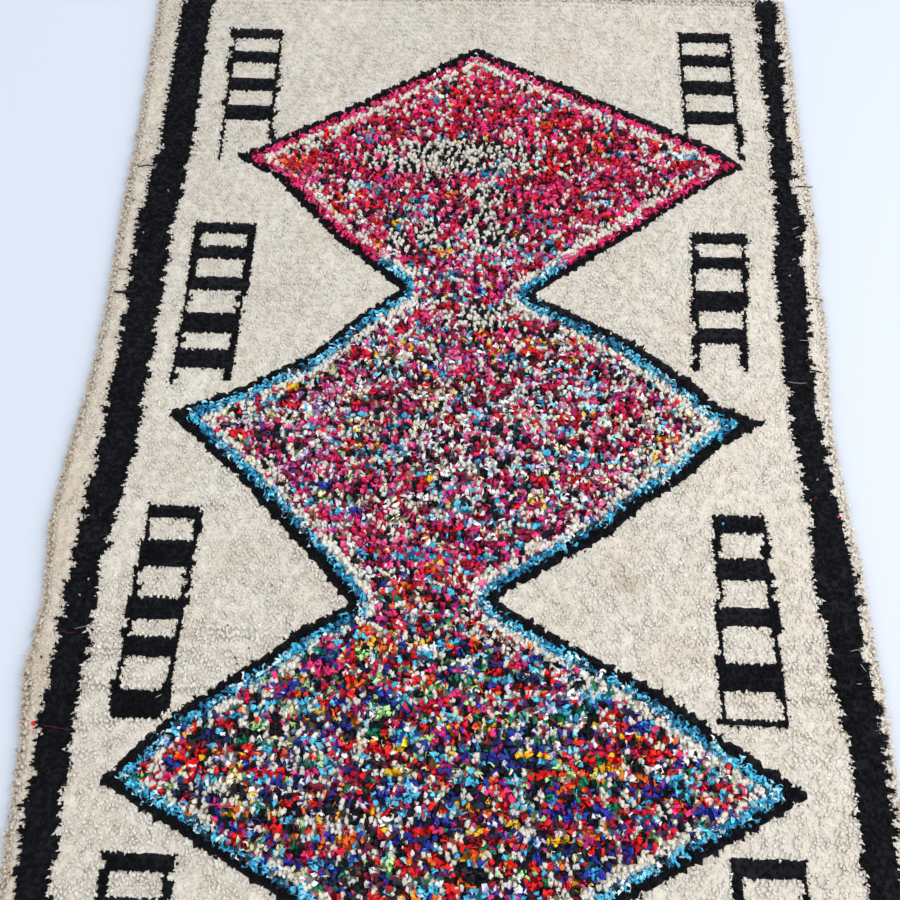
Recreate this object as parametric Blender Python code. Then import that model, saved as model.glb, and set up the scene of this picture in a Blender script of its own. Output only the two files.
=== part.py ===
"""A Moroccan pile rug lying flat: one lumpy slab of knotted pile with uneven long sides and locks at its rim.

The rug lies in XY with its length along Y, its underside on Z = 0 and the origin under its middle.
"""

import math
import random

import bmesh
import bpy
from mathutils import Vector
from mathutils.geometry import delaunay_2d_cdt

# Driving dimensions, in metres.
RUG_WIDTH = 1.22
RUG_LENGTH = 1.88
PILE_TOP = 0.0195
LUMP_DEPTH = 0.0034
SWELL_DEPTH = 0.0012
CORNER_RADIUS = 0.036

# The rim in section, from the underside up: how far in from the lock tips, and how high.
SOLE_IN, SOLE_HIGH = 0.020, 0.0
ROOT_LOW_IN, ROOT_LOW_HIGH = 0.0145, 0.0035
ROOT_TOP_IN, ROOT_TOP_HIGH = 0.0130, 0.0125
SHOULDER_IN, SHOULDER_HIGH = 0.022, 0.0165

# Locks: how many along a long side and along an end, and the lengths and slimness they vary between.
SIDE_LOCKS = 90
END_LOCKS = 56
LOCK_SHORT, LOCK_LONG = 0.0060, 0.0128
LOCK_TIP_SCALE = (0.30, 0.62)
LOCK_DROOP = (0.0005, 0.0028)
LOCK_LOWEST = 0.0008

# The grid of lumps on top.
LUMP_PITCH = 0.040
LUMP_JITTER = 0.22
LUMP_CLEAR = 0.020

# How far the lock tips stay inside the rug's box on the long sides: along the rug, on the left, on the right.
SIDE_WANDER = [
    {"along": -0.94, "left": 0.020, "right": 0.004},
    {"along": -0.70, "left": 0.015, "right": 0.002},
    {"along": -0.52, "left": 0.012, "right": 0.005},
    {"along": -0.42, "left": 0.000, "right": 0.008},
    {"along": -0.32, "left": 0.013, "right": 0.010},
    {"along": -0.18, "left": 0.005, "right": 0.009},
    {"along": 0.13, "left": 0.026, "right": 0.008},
    {"along": 0.37, "left": 0.023, "right": 0.000},
    {"along": 0.55, "left": 0.018, "right": 0.011},
    {"along": 0.94, "left": 0.023, "right": 0.003},
]
END_WAVE = 0.005
END_WAVES_ACROSS = 1.6

WOOL_COLOUR = (0.68, 0.60, 0.50, 1.0)
WOOL_ROUGHNESS = 0.95
SEED = 7


def clear_scene():
    for thing in list(bpy.data.objects):
        bpy.data.objects.remove(thing)


def eased(rows, side, along):
    """The inset in a column of SIDE_WANDER at a place along the rug, eased from row to row."""
    along = min(max(along, rows[0]["along"]), rows[-1]["along"])
    for low, high in zip(rows, rows[1:]):
        if along <= high["along"]:
            share = (along - low["along"]) / (high["along"] - low["along"])
            share = (1 - math.cos(math.pi * share)) / 2
            return low[side] + (high[side] - low[side]) * share
    return rows[-1][side]


def end_inset(across, shift):
    """How far an end of the rug stays inside its box: a slow wave that touches the box."""
    turn = 2 * math.pi * (END_WAVES_ACROSS * across / RUG_WIDTH + shift)
    return END_WAVE * (1 + math.sin(turn)) / 2


def on_outline(x, y):
    """Moves a point of the plain rectangle to where the uneven rug has it."""
    left = eased(SIDE_WANDER, "left", y)
    right = eased(SIDE_WANDER, "right", y)
    near = end_inset(x, 0.15)
    far = end_inset(x, 0.62)
    across = (x + RUG_WIDTH / 2) / RUG_WIDTH
    along = (y + RUG_LENGTH / 2) / RUG_LENGTH
    new_x = x + left * (1 - across) - right * across
    new_y = y + near * (1 - along) - far * along
    return Vector((new_x, new_y))


def rectangle_ring(inset):
    """Points round the rug at an inset, corners rounded, and each point's way out. It runs anticlockwise."""
    half_x = RUG_WIDTH / 2
    half_y = RUG_LENGTH / 2
    sides = [
        (Vector((-half_x, -half_y)), Vector((half_x, -half_y)), END_LOCKS),
        (Vector((half_x, -half_y)), Vector((half_x, half_y)), SIDE_LOCKS),
        (Vector((half_x, half_y)), Vector((-half_x, half_y)), END_LOCKS),
        (Vector((-half_x, half_y)), Vector((-half_x, -half_y)), SIDE_LOCKS),
    ]
    points = []
    for start, stop, count in sides:
        for step in range(count):
            points.append(rounded(start.lerp(stop, step / count), inset))
    return points


def rounded(point, inset):
    """Pulls a point of the rectangle in by an inset, and round the corner where it is near one."""
    core_x = RUG_WIDTH / 2 - CORNER_RADIUS
    core_y = RUG_LENGTH / 2 - CORNER_RADIUS
    core = Vector((min(max(point.x, -core_x), core_x), min(max(point.y, -core_y), core_y)))
    out = (point - core).normalized()
    place = on_outline(point.x, point.y) - point + core + out * (CORNER_RADIUS - inset)
    return place, out


def lump_height(x, y, rng):
    """The height of the pile at one lump: a slow swell over the rug, and each lump's own depth."""
    swell = math.sin(11.0 * x + 2.0 * math.sin(5.0 * y)) * math.cos(9.0 * y + 1.3)
    return PILE_TOP - SWELL_DEPTH * (1 - swell) / 2 - LUMP_DEPTH * rng.random() ** 1.5


def lump_points(rng):
    """Jittered points in a staggered grid over the rug, clear of the shoulder."""
    clear = SHOULDER_IN + LUMP_CLEAR
    rows = round((RUG_LENGTH - 2 * clear) / (LUMP_PITCH * math.sqrt(3) / 2))
    columns = round((RUG_WIDTH - 2 * clear) / LUMP_PITCH)
    places = []
    for row in range(rows + 1):
        y = -RUG_LENGTH / 2 + clear + (RUG_LENGTH - 2 * clear) * row / rows
        stagger = 0.5 * (row % 2)
        for column in range(columns + 1 - row % 2):
            x = -RUG_WIDTH / 2 + clear + (RUG_WIDTH - 2 * clear) * (column + stagger) / columns
            x += LUMP_PITCH * rng.uniform(-LUMP_JITTER, LUMP_JITTER)
            y_here = y + LUMP_PITCH * rng.uniform(-LUMP_JITTER, LUMP_JITTER)
            places.append(on_outline(x, y_here))
    return places


def add_ring(bm, inset, height):
    return [bm.verts.new((place.x, place.y, height)) for place, _ in rectangle_ring(inset)]


def band(bm, low, high):
    """The quads between two rings of equal count, facing out."""
    count = len(low)
    faces = []
    for i in range(count):
        after = (i + 1) % count
        faces.append(bm.faces.new((low[i], low[after], high[after], high[i])))
    return faces


def add_top(bm, shoulder, rng):
    """The lumpy top: triangles between the shoulder ring and the lumps' points."""
    ring = [vert.co.xy.copy() for vert in shoulder]
    inner = lump_points(rng)
    count = len(ring)
    edges = [(i, (i + 1) % count) for i in range(count)]
    flat, _, faces, _, _, _ = delaunay_2d_cdt(ring + inner, edges, [], 1, 1e-7)
    verts = list(shoulder)
    for place in flat[count:]:
        height = lump_height(place.x, place.y, rng)
        verts.append(bm.verts.new((place.x, place.y, height)))
    for corners in faces:
        bm.faces.new([verts[i] for i in corners])


def pull_locks(bm, roots, rng):
    """Draws each root face out into one tapered four-sided lock that droops a little."""
    outs = [out for _, out in rectangle_ring(0.0)]
    count = len(outs)
    drawn = bmesh.ops.extrude_discrete_faces(bm, faces=roots)["faces"]
    for i, face in enumerate(drawn):
        out = (outs[i] + outs[(i + 1) % count]).normalized()
        sideways = Vector((-out.y, out.x)) * rng.uniform(-0.003, 0.003)
        reach = out * rng.uniform(LOCK_SHORT, LOCK_LONG) + sideways
        middle = face.calc_center_median()
        scale = rng.uniform(*LOCK_TIP_SCALE)
        droop = rng.uniform(*LOCK_DROOP)
        for vert in face.verts:
            vert.co = middle + (vert.co - middle) * scale
            vert.co.xy += reach
            vert.co.z = max(vert.co.z - droop, LOCK_LOWEST)


def centre(bm):
    """Moves the whole mesh so that the middle of its box is over the origin."""
    xs = [vert.co.x for vert in bm.verts]
    ys = [vert.co.y for vert in bm.verts]
    shift = Vector(((min(xs) + max(xs)) / 2, (min(ys) + max(ys)) / 2, 0.0))
    bmesh.ops.translate(bm, verts=bm.verts, vec=-shift)


def make_rug():
    rng = random.Random(SEED)
    bm = bmesh.new()
    sole = add_ring(bm, SOLE_IN, SOLE_HIGH)
    root_low = add_ring(bm, ROOT_LOW_IN, ROOT_LOW_HIGH)
    root_top = add_ring(bm, ROOT_TOP_IN, ROOT_TOP_HIGH)
    shoulder = add_ring(bm, SHOULDER_IN, SHOULDER_HIGH)
    bm.faces.new(list(reversed(sole)))
    band(bm, sole, root_low)
    roots = band(bm, root_low, root_top)
    band(bm, root_top, shoulder)
    add_top(bm, shoulder, rng)
    pull_locks(bm, roots, rng)
    centre(bm)
    mesh = bpy.data.meshes.new("rug")
    bm.to_mesh(mesh)
    bm.free()
    return mesh


def wool_material():
    material = bpy.data.materials.new("wool_pile")
    material.use_nodes = True
    shader = material.node_tree.nodes["Principled BSDF"]
    shader.inputs["Base Color"].default_value = WOOL_COLOUR
    shader.inputs["Roughness"].default_value = WOOL_ROUGHNESS
    shader.inputs["Metallic"].default_value = 0.0
    material.diffuse_color = WOOL_COLOUR
    return material


def main():
    clear_scene()
    rug = bpy.data.objects.new("rug", make_rug())
    rug.data.materials.append(wool_material())
    bpy.context.scene.collection.objects.link(rug)


main()
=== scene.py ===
# %% [markdown]
# # A knotted rug of wool and rag, lying flat
#
# The real rug is woven on an upright loom. A weaver ties one row of knots across the warp, beats a few
# wefts down on it, and ties the next row. The cut ends of the knots stand up as the pile, and the pile is
# all that shows from above. Most knots are ivory wool. Black wool draws the side stripes, the ladders and
# the outline of the diamonds, and the diamonds are filled with knots of rag in many colours.
#
# A rug could be a flat sheet with a painted pattern, but then it would have no depth at its rim and no
# lobes in its rows. So this scene does what the weaver does: it lays out a grid of knots, gives each knot
# its yarn from the pattern, and stands one small tuft on each knot.

import math

import bpy
import numpy as np
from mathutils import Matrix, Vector


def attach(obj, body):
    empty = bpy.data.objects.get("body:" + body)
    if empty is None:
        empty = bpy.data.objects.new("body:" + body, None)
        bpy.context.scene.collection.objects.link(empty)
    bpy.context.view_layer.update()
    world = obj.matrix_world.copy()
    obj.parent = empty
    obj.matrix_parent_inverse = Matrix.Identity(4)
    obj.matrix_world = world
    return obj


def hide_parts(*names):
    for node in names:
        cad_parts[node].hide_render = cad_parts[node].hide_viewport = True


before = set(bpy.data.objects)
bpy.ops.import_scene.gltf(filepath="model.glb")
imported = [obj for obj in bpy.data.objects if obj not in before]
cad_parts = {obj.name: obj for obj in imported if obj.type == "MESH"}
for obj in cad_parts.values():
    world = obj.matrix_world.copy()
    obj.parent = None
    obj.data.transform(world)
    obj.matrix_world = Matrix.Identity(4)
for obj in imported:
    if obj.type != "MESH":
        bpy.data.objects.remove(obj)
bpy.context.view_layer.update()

# %% [markdown]
# ## The camera
#
# The photograph is taken by someone who stands at the near end and looks down along the rug. The two long
# sides run together towards the far end, and how fast they do so gives the height and the pitch of the
# view. The camera is 1.7 m above the pile, looks down by 62.6 degrees and is turned by one degree.

# %% Camera
def put(name, data):
    """Adds an object with this data to the scene."""
    thing = bpy.data.objects.new(name, data)
    bpy.context.scene.collection.objects.link(thing)
    return thing


CAMERA_PLACE = (0.004, -0.938, 1.718)
CAMERA_PITCH = 62.6
CAMERA_TURN = 1.11
LENS = 49.4

camera_data = bpy.data.cameras.new("camera")
camera_data.lens = LENS
camera_data.sensor_width = 36.0
camera = put("camera", camera_data)
camera.location = CAMERA_PLACE
camera.rotation_euler = (math.radians(90.0 - CAMERA_PITCH), 0.0, math.radians(CAMERA_TURN))
bpy.context.scene.camera = camera
print("camera at", CAMERA_PLACE)

# %% [markdown]
# ## Studio light
#
# The light is plain and soft: a pale sky all round, and one large lamp to the right, like a tall window. It
# leaves the left side of each tuft and the left rim a little darker, and so the pile shows.

# %% Light
SKY_COLOUR = (0.86, 0.93, 1.0, 1.0)
SKY_STRENGTH = 1.20
LAMP_PLACE = Vector((2.4, -0.3, 2.2))
LAMP_SIZE = 2.4
LAMP_POWER = 47.0

bpy.context.scene.view_settings.view_transform = "Standard"
world = bpy.data.worlds.new("studio")
world.use_nodes = True
world.node_tree.nodes["Background"].inputs["Color"].default_value = SKY_COLOUR
world.node_tree.nodes["Background"].inputs["Strength"].default_value = SKY_STRENGTH
bpy.context.scene.world = world

lamp_data = bpy.data.lights.new("window", "AREA")
lamp_data.size = LAMP_SIZE
lamp_data.energy = LAMP_POWER
lamp_data.color = (1.0, 0.98, 0.95)
lamp = put("window", lamp_data)
lamp.location = LAMP_PLACE
lamp.rotation_euler = (-LAMP_PLACE).to_track_quat("-Z", "Y").to_euler()
print("lamp of", LAMP_POWER, "W, sky at", SKY_STRENGTH)

# %% [markdown]
# ## Shader maths as plain Python
#
# A finish is easier to read as a formula than as a list of nodes. This small class wraps one output socket.
# Adding or multiplying wires and numbers adds Math nodes, and `node` adds any other node.

# %% A wire between nodes
class Wire:
    """One output of a material's nodes."""

    def __init__(self, tree, socket=None):
        self.tree = tree
        self.socket = socket

    def node(self, kind, settings=None, values=None, output=0):
        """Adds a node of a kind, sets its settings, then gives its sockets their values or links."""
        made = self.tree.nodes.new(kind)
        for name, value in (settings or {}).items():
            setattr(made, name, value)
        for name, value in (values or {}).items():
            if isinstance(value, Wire):
                self.tree.links.new(value.socket, made.inputs[name])
            else:
                made.inputs[name].default_value = value
        return Wire(self.tree, made.outputs[output])

    def maths(self, operation, first, second):
        return self.node("ShaderNodeMath", {"operation": operation}, {0: first, 1: second})

    def __add__(self, other):
        return self.maths("ADD", self, other)

    __radd__ = __add__

    def __mul__(self, other):
        return self.maths("MULTIPLY", self, other)

    def __sub__(self, other):
        return self.maths("SUBTRACT", self, other)

    def __rsub__(self, other):
        return self.maths("SUBTRACT", other, self)

    def scaled(self, amount):
        """This colour, brighter or darker by an amount."""
        return self.node("ShaderNodeVectorMath", {"operation": "SCALE"}, {"Vector": self, "Scale": amount})

    def mixed(self, other, share):
        """This colour, turned into another by a share."""
        values = {0: share, 6: self, 7: other}
        return self.node("ShaderNodeMix", {"data_type": "RGBA"}, values, output=2)

    def stepped(self, low, high):
        """Nothing below one value, one above another, and eased between them."""
        values = {"Value": self, "From Min": low, "From Max": high}
        return self.node("ShaderNodeMapRange", {"interpolation_type": "SMOOTHSTEP"}, values)

    def noise(self, scale, detail):
        """Noise at this place."""
        return self.node("ShaderNodeTexNoise", values={"Vector": self, "Scale": scale, "Detail": detail})

    def bump(self, strength, depth, **more):
        """The normal of a surface that this wire raises by a depth."""
        values = {"Height": self, "Strength": strength, "Distance": depth, **more}
        return self.node("ShaderNodeBump", values=values)


def new_finish(name, **fixed):
    """A fresh material with a few fixed values, its Principled shader, and a wire to start its nodes from."""
    material = bpy.data.materials.new(name)
    material.use_nodes = True
    shader = material.node_tree.nodes["Principled BSDF"]
    for words, value in fixed.items():
        shader.inputs[words.replace("_", " ")].default_value = value
    return material, shader, Wire(material.node_tree)


def yarn_wires(start):
    """Wires for a yarn's colour, its share of the way to the tip, and its place."""
    colour = start.node("ShaderNodeAttribute", {"attribute_name": "yarn_colour"})
    tip = start.node("ShaderNodeAttribute", {"attribute_name": "tip"}, output="Fac")
    return colour, tip, start.node("ShaderNodeTexCoord", output=3)


def feed(shader, name, wire):
    wire.tree.links.new(wire.socket, shader.inputs[name])


# %% [markdown]
# ## The floor
#
# The rug lies on a white floor that a little blue light falls on. The floor isn't part of the rug, so it is
# staged.

# %% Floor
FLOOR_COLOUR = (0.620, 0.638, 0.70, 1.0)
FLOOR_ROUGHNESS = 0.6
FLOOR_STAINS = 0.1


def make_floor():
    material, shader, start = new_finish("floor_paint", Base_Color=FLOOR_COLOUR)
    stains = start.node("ShaderNodeTexCoord", output=3).noise(1.5, 2.0)
    feed(shader, "Roughness", stains * FLOOR_STAINS + FLOOR_ROUGHNESS)
    mesh = bpy.data.meshes.new("floor")
    mesh.from_pydata([(-8, -8, 0), (8, -8, 0), (8, 8, 0), (-8, 8, 0)], [], [(0, 1, 2, 3)])
    mesh.materials.append(material)
    return put("floor", mesh)


floor = make_floor()
print("floor laid")

# %% [markdown]
# ## The grid of knots
#
# Counting knots in the photograph gives about 14 in 10 cm across, and 9 rows in 10 cm along: long pile
# needs fewer rows, as it lies over the wefts between them. Hand work is never straight: a row waves a
# little, a side wanders in and out by two or three centimetres, and no knot sits exactly where the next one
# does. The sides here wander by nearly the same table as the solid's sides do.

# %% Knots in rows
RUG_WIDTH = 1.22
RUG_LENGTH = 1.88
# Each row: a place along the rug, and how far the left and the right side stay in there.
SIDE_WANDER = [
    (-0.94, 0.020, 0.002), (-0.70, 0.013, 0.000), (-0.52, 0.007, 0.001), (-0.42, -0.005, 0.000),
    (-0.32, 0.004, 0.006), (-0.24, -0.003, 0.006), (-0.18, -0.008, 0.011), (-0.07, 0.000, 0.019),
    (0.03, 0.012, 0.023), (0.13, 0.019, 0.013), (0.20, 0.020, 0.009), (0.29, 0.020, 0.011),
    (0.37, 0.019, 0.002), (0.55, 0.022, 0.008), (0.94, 0.021, 0.001),
]
WANDER_ALONG, WANDER_LEFT, WANDER_RIGHT = np.transpose(SIDE_WANDER)
END_WAVE = 0.005
END_WAVES_ACROSS = 1.6
NEAR_END_SHIFT = 0.15
FAR_END_SHIFT = 0.62
# Each wave of the rows: its height, its turn for each metre and for each row, and where it starts.
ROW_WAVES = [(0.0011, 9.0, 0.16, 0.0), (0.0008, 23.0, -0.10, 2.0)]
ROW_WAVE_FADE = 0.05
SIDE_KNOT_IN = 0.008
END_KNOT_IN = 0.013
KNOTS_ACROSS = 168
ROWS = 170
KNOT_PITCH = (RUG_WIDTH - 2 * SIDE_KNOT_IN) / (KNOTS_ACROSS - 1)
ROW_PITCH = (RUG_LENGTH - 2 * END_KNOT_IN) / (ROWS - 1)

rng = np.random.default_rng(11)


def varied(spread, middle=0.0):
    """A random amount for each knot."""
    return rng.normal(middle, spread, (ROWS, KNOTS_ACROSS))


def sides_in(along):
    """How far the left and the right side stay in from the rug's box, at places along the rug."""
    return np.interp(along, WANDER_ALONG, WANDER_LEFT), np.interp(along, WANDER_ALONG, WANDER_RIGHT)


def end_inset(across, shift):
    """How far an end of the rug stays inside its box: a slow wave."""
    turn = 2 * np.pi * (END_WAVES_ACROSS * across / RUG_WIDTH + shift)
    return END_WAVE * (1 + np.sin(turn)) / 2


def on_outline(x, y):
    """Moves places on the plain rectangle to where the uneven rug has them."""
    across = (x + RUG_WIDTH / 2) / RUG_WIDTH
    along = (y + RUG_LENGTH / 2) / RUG_LENGTH
    left_in, right_in = sides_in(y)
    new_x = x + left_in * (1 - across) - right_in * across
    new_y = y + end_inset(x, NEAR_END_SHIFT) * (1 - along) - end_inset(x, FAR_END_SHIFT) * along
    return new_x, new_y


def row_wave(x, row):
    """Rows wave by a millimetre or two, and neighbouring rows wave alike."""
    return sum(high * np.sin(turn * x + shift * row + start) for high, turn, shift, start in ROW_WAVES)


column_of, row_of = np.meshgrid(np.arange(KNOTS_ACROSS), np.arange(ROWS))
plain_x = -RUG_WIDTH / 2 + SIDE_KNOT_IN + column_of * KNOT_PITCH
plain_y = -RUG_LENGTH / 2 + END_KNOT_IN + row_of * ROW_PITCH
waving = np.clip((RUG_LENGTH / 2 - np.abs(plain_y)) / ROW_WAVE_FADE, 0, 1)
plain_y = plain_y + row_wave(plain_x, row_of) * waving
knot_x, knot_y = on_outline(plain_x, plain_y)
print(KNOTS_ACROSS * ROWS, "knots at", round(KNOT_PITCH * 1000, 2), "by", round(ROW_PITCH * 1000, 2), "mm")

# %% [markdown]
# ## The pattern: stripes and ladders
#
# A weaver has no drawing on the loom. The pattern is counted and judged by eye, so an edge is straight only
# to within a knot or two. Each stripe is a pair of edges given at a few places along the rug, in metres
# from its middle. A ladder is two rails and a few thick bars. Each bar is a whole number of rows, so the
# rows beside a ladder are beaten up a little tighter or looser until they fit it. The pile leans towards
# the near end, so what is seen of a knot is a few millimetres nearer than its root, and the pattern allows
# for it.

# %% Stripes and ladders
# Each row of a stripe: a place along the rug, and where its outer and its inner edge are there.
LEFT_STRIPE = [
    (-0.94, -0.572, -0.524), (-0.52, -0.575, -0.529), (-0.25, -0.568, -0.526), (-0.17, -0.566, -0.513),
    (-0.10, -0.560, -0.506), (0.00, -0.558, -0.501), (0.13, -0.555, -0.499), (0.40, -0.555, -0.496),
    (0.54, -0.541, -0.483), (0.94, -0.541, -0.486),
]
RIGHT_STRIPE = [
    (-0.94, 0.590, 0.544), (-0.49, 0.596, 0.548), (-0.42, 0.591, 0.536), (-0.38, 0.583, 0.533),
    (-0.26, 0.587, 0.528), (-0.15, 0.575, 0.532), (0.03, 0.564, 0.524), (0.30, 0.572, 0.527),
    (0.40, 0.583, 0.541), (0.46, 0.577, 0.540), (0.56, 0.581, 0.546), (0.94, 0.586, 0.549),
]
OVERHANG = 0.003
SPREAD = -0.0005
RAIL = 0.0100
BEATEN_BESIDE = 0.035
BEATEN_ROWS = 4
STRIPE_STEP = 0.004
LADDER_STEP = 0.002
LADDERS = [
    {"far": 0.375, "near": 0.055, "left": (-0.456, -0.466), "right": (-0.352, -0.366), "rail": 0.0125,
     "bars": [(0.352, 0.375), (0.299, 0.326), (0.234, 0.262), (0.151, 0.190), (0.083, 0.120)]},
    {"far": 0.370, "near": 0.097, "left": (0.389, 0.376), "right": (0.488, 0.462),
     "bars": [(0.347, 0.370), (0.294, 0.318), (0.208, 0.249), (0.144, 0.175)]},
    {"far": -0.160, "near": -0.488, "left": (-0.470, -0.484), "right": (-0.385, -0.401),
     "bars": [(-0.180, -0.160), (-0.259, -0.216), (-0.342, -0.306), (-0.397, -0.367), (-0.488, -0.447)]},
    {"far": -0.160, "near": -0.483, "left": (0.385, 0.372), "right": (0.466, 0.469),
     "bars": [(-0.189, -0.160), (-0.265, -0.230), (-0.337, -0.307), (-0.433, -0.391), (-0.483, -0.473)]},
    {"far": 0.830, "near": 0.512, "left": (-0.440, -0.437), "right": (-0.344, -0.340),
     "bars": [(0.806, 0.830), (0.744, 0.772), (0.676, 0.706), (0.606, 0.640)]},
    {"far": 0.836, "near": 0.529, "left": (0.396, 0.392), "right": (0.496, 0.496),
     "bars": [(0.812, 0.836), (0.752, 0.780), (0.682, 0.716), (0.612, 0.642)]},
    {"far": -0.668, "near": -0.885, "left": (-0.462, -0.466), "right": (-0.366, -0.370),
     "bars": [(-0.692, -0.668), (-0.752, -0.724), (-0.816, -0.784), (-0.885, -0.860)]},
    {"far": -0.660, "near": -0.880, "left": (0.372, 0.374), "right": (0.470, 0.468),
     "bars": [(-0.686, -0.660), (-0.748, -0.716), (-0.812, -0.780), (-0.880, -0.852)]},
]


def sides_of(ladder, y):
    """The left and right side of a ladder at places along the rug."""
    share = np.clip((ladder["far"] - y) / (ladder["far"] - ladder["near"]), 0, 1)
    left = ladder["left"][0] + (ladder["left"][1] - ladder["left"][0]) * share
    right = ladder["right"][0] + (ladder["right"][1] - ladder["right"][0]) * share
    return left, right


def beaten(x, y):
    """How far the rows move beside the ladders, so that a line between two rows meets each bar's edge."""
    move = np.zeros(x.shape)
    first = -RUG_LENGTH / 2 + END_KNOT_IN - ROW_PITCH / 2
    for ladder in LADDERS:
        edges = sorted(edge + OVERHANG for bar in ladder["bars"] for edge in bar)
        middle = (ladder["left"][0] + ladder["right"][0]) / 2
        shift = on_outline(middle, edges[0])[1] - edges[0]
        numbers = []
        for edge in edges:
            number = round((edge - shift - first) / ROW_PITCH)
            numbers.append(max(number, numbers[-1] + 1) if numbers else number)
        lines = [first + number * ROW_PITCH + shift for number in numbers]
        places = [lines[0] - BEATEN_ROWS * ROW_PITCH, *lines, lines[-1] + BEATEN_ROWS * ROW_PITCH]
        moves = [0.0, *(edge - line for edge, line in zip(edges, lines)), 0.0]
        left, right = sides_of(ladder, y)
        outside = np.maximum(left - x, x - right)
        move += np.interp(y, places, moves) * np.clip(1 - outside / BEATEN_BESIDE, 0, 1)
    return move


def in_stripe(edges, x, y):
    """Which knots lie between a stripe's edges. Each row's edges step a little to and fro."""
    places, outer, inner = np.transpose(edges)
    outer = np.interp(y, places, outer) + rng.uniform(-STRIPE_STEP, STRIPE_STEP, ROWS)[:, None]
    inner = np.interp(y, places, inner) + rng.uniform(-STRIPE_STEP, STRIPE_STEP, ROWS)[:, None]
    return (x > np.minimum(outer, inner) + SPREAD) & (x < np.maximum(outer, inner) - SPREAD)


def in_ladder(ladder, x, y):
    """Which knots lie in the rails and bars of one ladder."""
    left, right = sides_of(ladder, y)
    left = left + rng.uniform(-LADDER_STEP, LADDER_STEP, ROWS)[:, None]
    right = right + rng.uniform(-LADDER_STEP, LADDER_STEP, ROWS)[:, None]
    between = (x > left) & (x < right)
    rail = ladder.get("rail", RAIL)
    rails = between & ((x < left + rail) | (x > right - rail)) & (y > ladder["near"]) & (y < ladder["far"])
    bars = np.zeros_like(rails)
    for low, high in ladder["bars"]:
        bars |= between & (y > low) & (y < high)
    return rails | bars


knot_y = knot_y + beaten(knot_x, knot_y)
seen_y = knot_y - OVERHANG
black_stripes = in_stripe(LEFT_STRIPE, knot_x, seen_y) | in_stripe(RIGHT_STRIPE, knot_x, seen_y)
black_ladders = np.zeros_like(black_stripes)
for ladder in LADDERS:
    black_ladders |= in_ladder(ladder, knot_x, seen_y)
print(int(black_stripes.sum()), "knots in the stripes,", int(black_ladders.sum()), "in the ladders")

# %% [markdown]
# ## The pattern: three diamonds in a chain
#
# The diamonds run into each other at two necks. From the outline inwards come a band of black wool, a band
# of bright rag, a thin line of ivory wool, and then the mixed fill. If the distance of each knot from the
# outline is known, one comparison gives each band, so the outline is all that has to be drawn. Only the
# middle diamond and parts of the other two are in the photograph, and the rest follows them.

# %% Diamonds
DIAMOND_LEFT = [
    (0.0, -0.850), (-0.485, -0.575), (-0.397, -0.480), (-0.258, -0.381), (-0.221, -0.347), (-0.156, -0.313),
    (-0.212, -0.247), (-0.341, -0.110), (-0.464, 0.002), (-0.350, 0.050), (-0.240, 0.116), (-0.158, 0.201),
    (-0.104, 0.243), (-0.219, 0.345), (-0.330, 0.474), (-0.406, 0.521), (-0.367, 0.543), (0.020, 0.790),
]
DIAMOND_RIGHT = [
    (0.490, -0.578), (0.339, -0.471), (0.290, -0.434), (0.224, -0.399), (0.059, -0.304), (0.182, -0.227),
    (0.236, -0.192), (0.285, -0.145), (0.348, -0.104), (0.401, -0.052), (0.485, -0.001), (0.412, 0.031),
    (0.366, 0.080), (0.270, 0.154), (0.121, 0.236), (0.280, 0.355), (0.453, 0.487), (0.497, 0.512),
    (0.450, 0.555),
]
OUTLINE = DIAMOND_LEFT + DIAMOND_RIGHT[::-1]
OUTLINE_SLACK = -0.001
BLACK_BAND = 0.0180
BRIGHT_BAND = 0.0110
IVORY_BAND = 0.0135
PINK_WIDTH = 0.0080
NARROWS_OVER = (0.30, 0.36)
LADDER_CLEAR = 0.0080
# Each row: a place along the rug, and how wide the black band is there on the left and on the right.
BLACK_WIDTHS = [
    (-0.47, 0.0150, 0.0170), (-0.44, 0.0150, 0.0135), (-0.31, 0.0150, 0.0135), (-0.25, 0.0170, 0.0175),
    (-0.01, 0.0170, 0.0175), (0.01, 0.0130, 0.0190), (0.10, 0.0130, 0.0190), (0.15, 0.0130, 0.0150),
    (0.24, 0.0130, 0.0150), (0.28, 0.0175, 0.0155), (0.47, 0.0175, 0.0155), (0.52, 0.0120, 0.0140),
    (0.60, 0.0165, 0.0165),
]
BAND_EDGES = np.cumsum([0.0, BLACK_BAND, BRIGHT_BAND, IVORY_BAND])
IVORY, BLACK, BRIGHT, LINE, FILL = range(5)


def depth_inside(outline, x, y):
    """How far inside a closed outline each place is. It is negative outside."""
    nearest = np.full(x.shape, np.inf)
    inside = np.zeros(x.shape, bool)
    for (ax, ay), (bx, by) in zip(outline, outline[1:] + outline[:1]):
        share = ((x - ax) * (bx - ax) + (y - ay) * (by - ay)) / ((bx - ax) ** 2 + (by - ay) ** 2)
        share = np.clip(share, 0, 1)
        nearest = np.minimum(nearest, np.hypot(x - ax - share * (bx - ax), y - ay - share * (by - ay)))
        if ay != by:
            crossing = (ay > y) != (by > y)
            inside ^= crossing & (x < ax + (bx - ax) * (y - ay) / (by - ay))
    return np.where(inside, nearest, -nearest)


def band_depth(x, y):
    """How far inside the outline each place is, as if each band had one width all the way round."""
    inside = depth_inside(OUTLINE, x, y) + OUTLINE_SLACK
    along, left, right = np.transpose(BLACK_WIDTHS)
    width = np.where(x < 0, np.interp(y, along, left), np.interp(y, along, right))
    inside = np.where(inside > width / 2, inside + BLACK_BAND - width, inside)
    bright = np.interp(y, NARROWS_OVER, (BRIGHT_BAND, PINK_WIDTH))
    return np.where(inside > BLACK_BAND + bright / 2, inside + BRIGHT_BAND - bright, inside)


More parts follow.
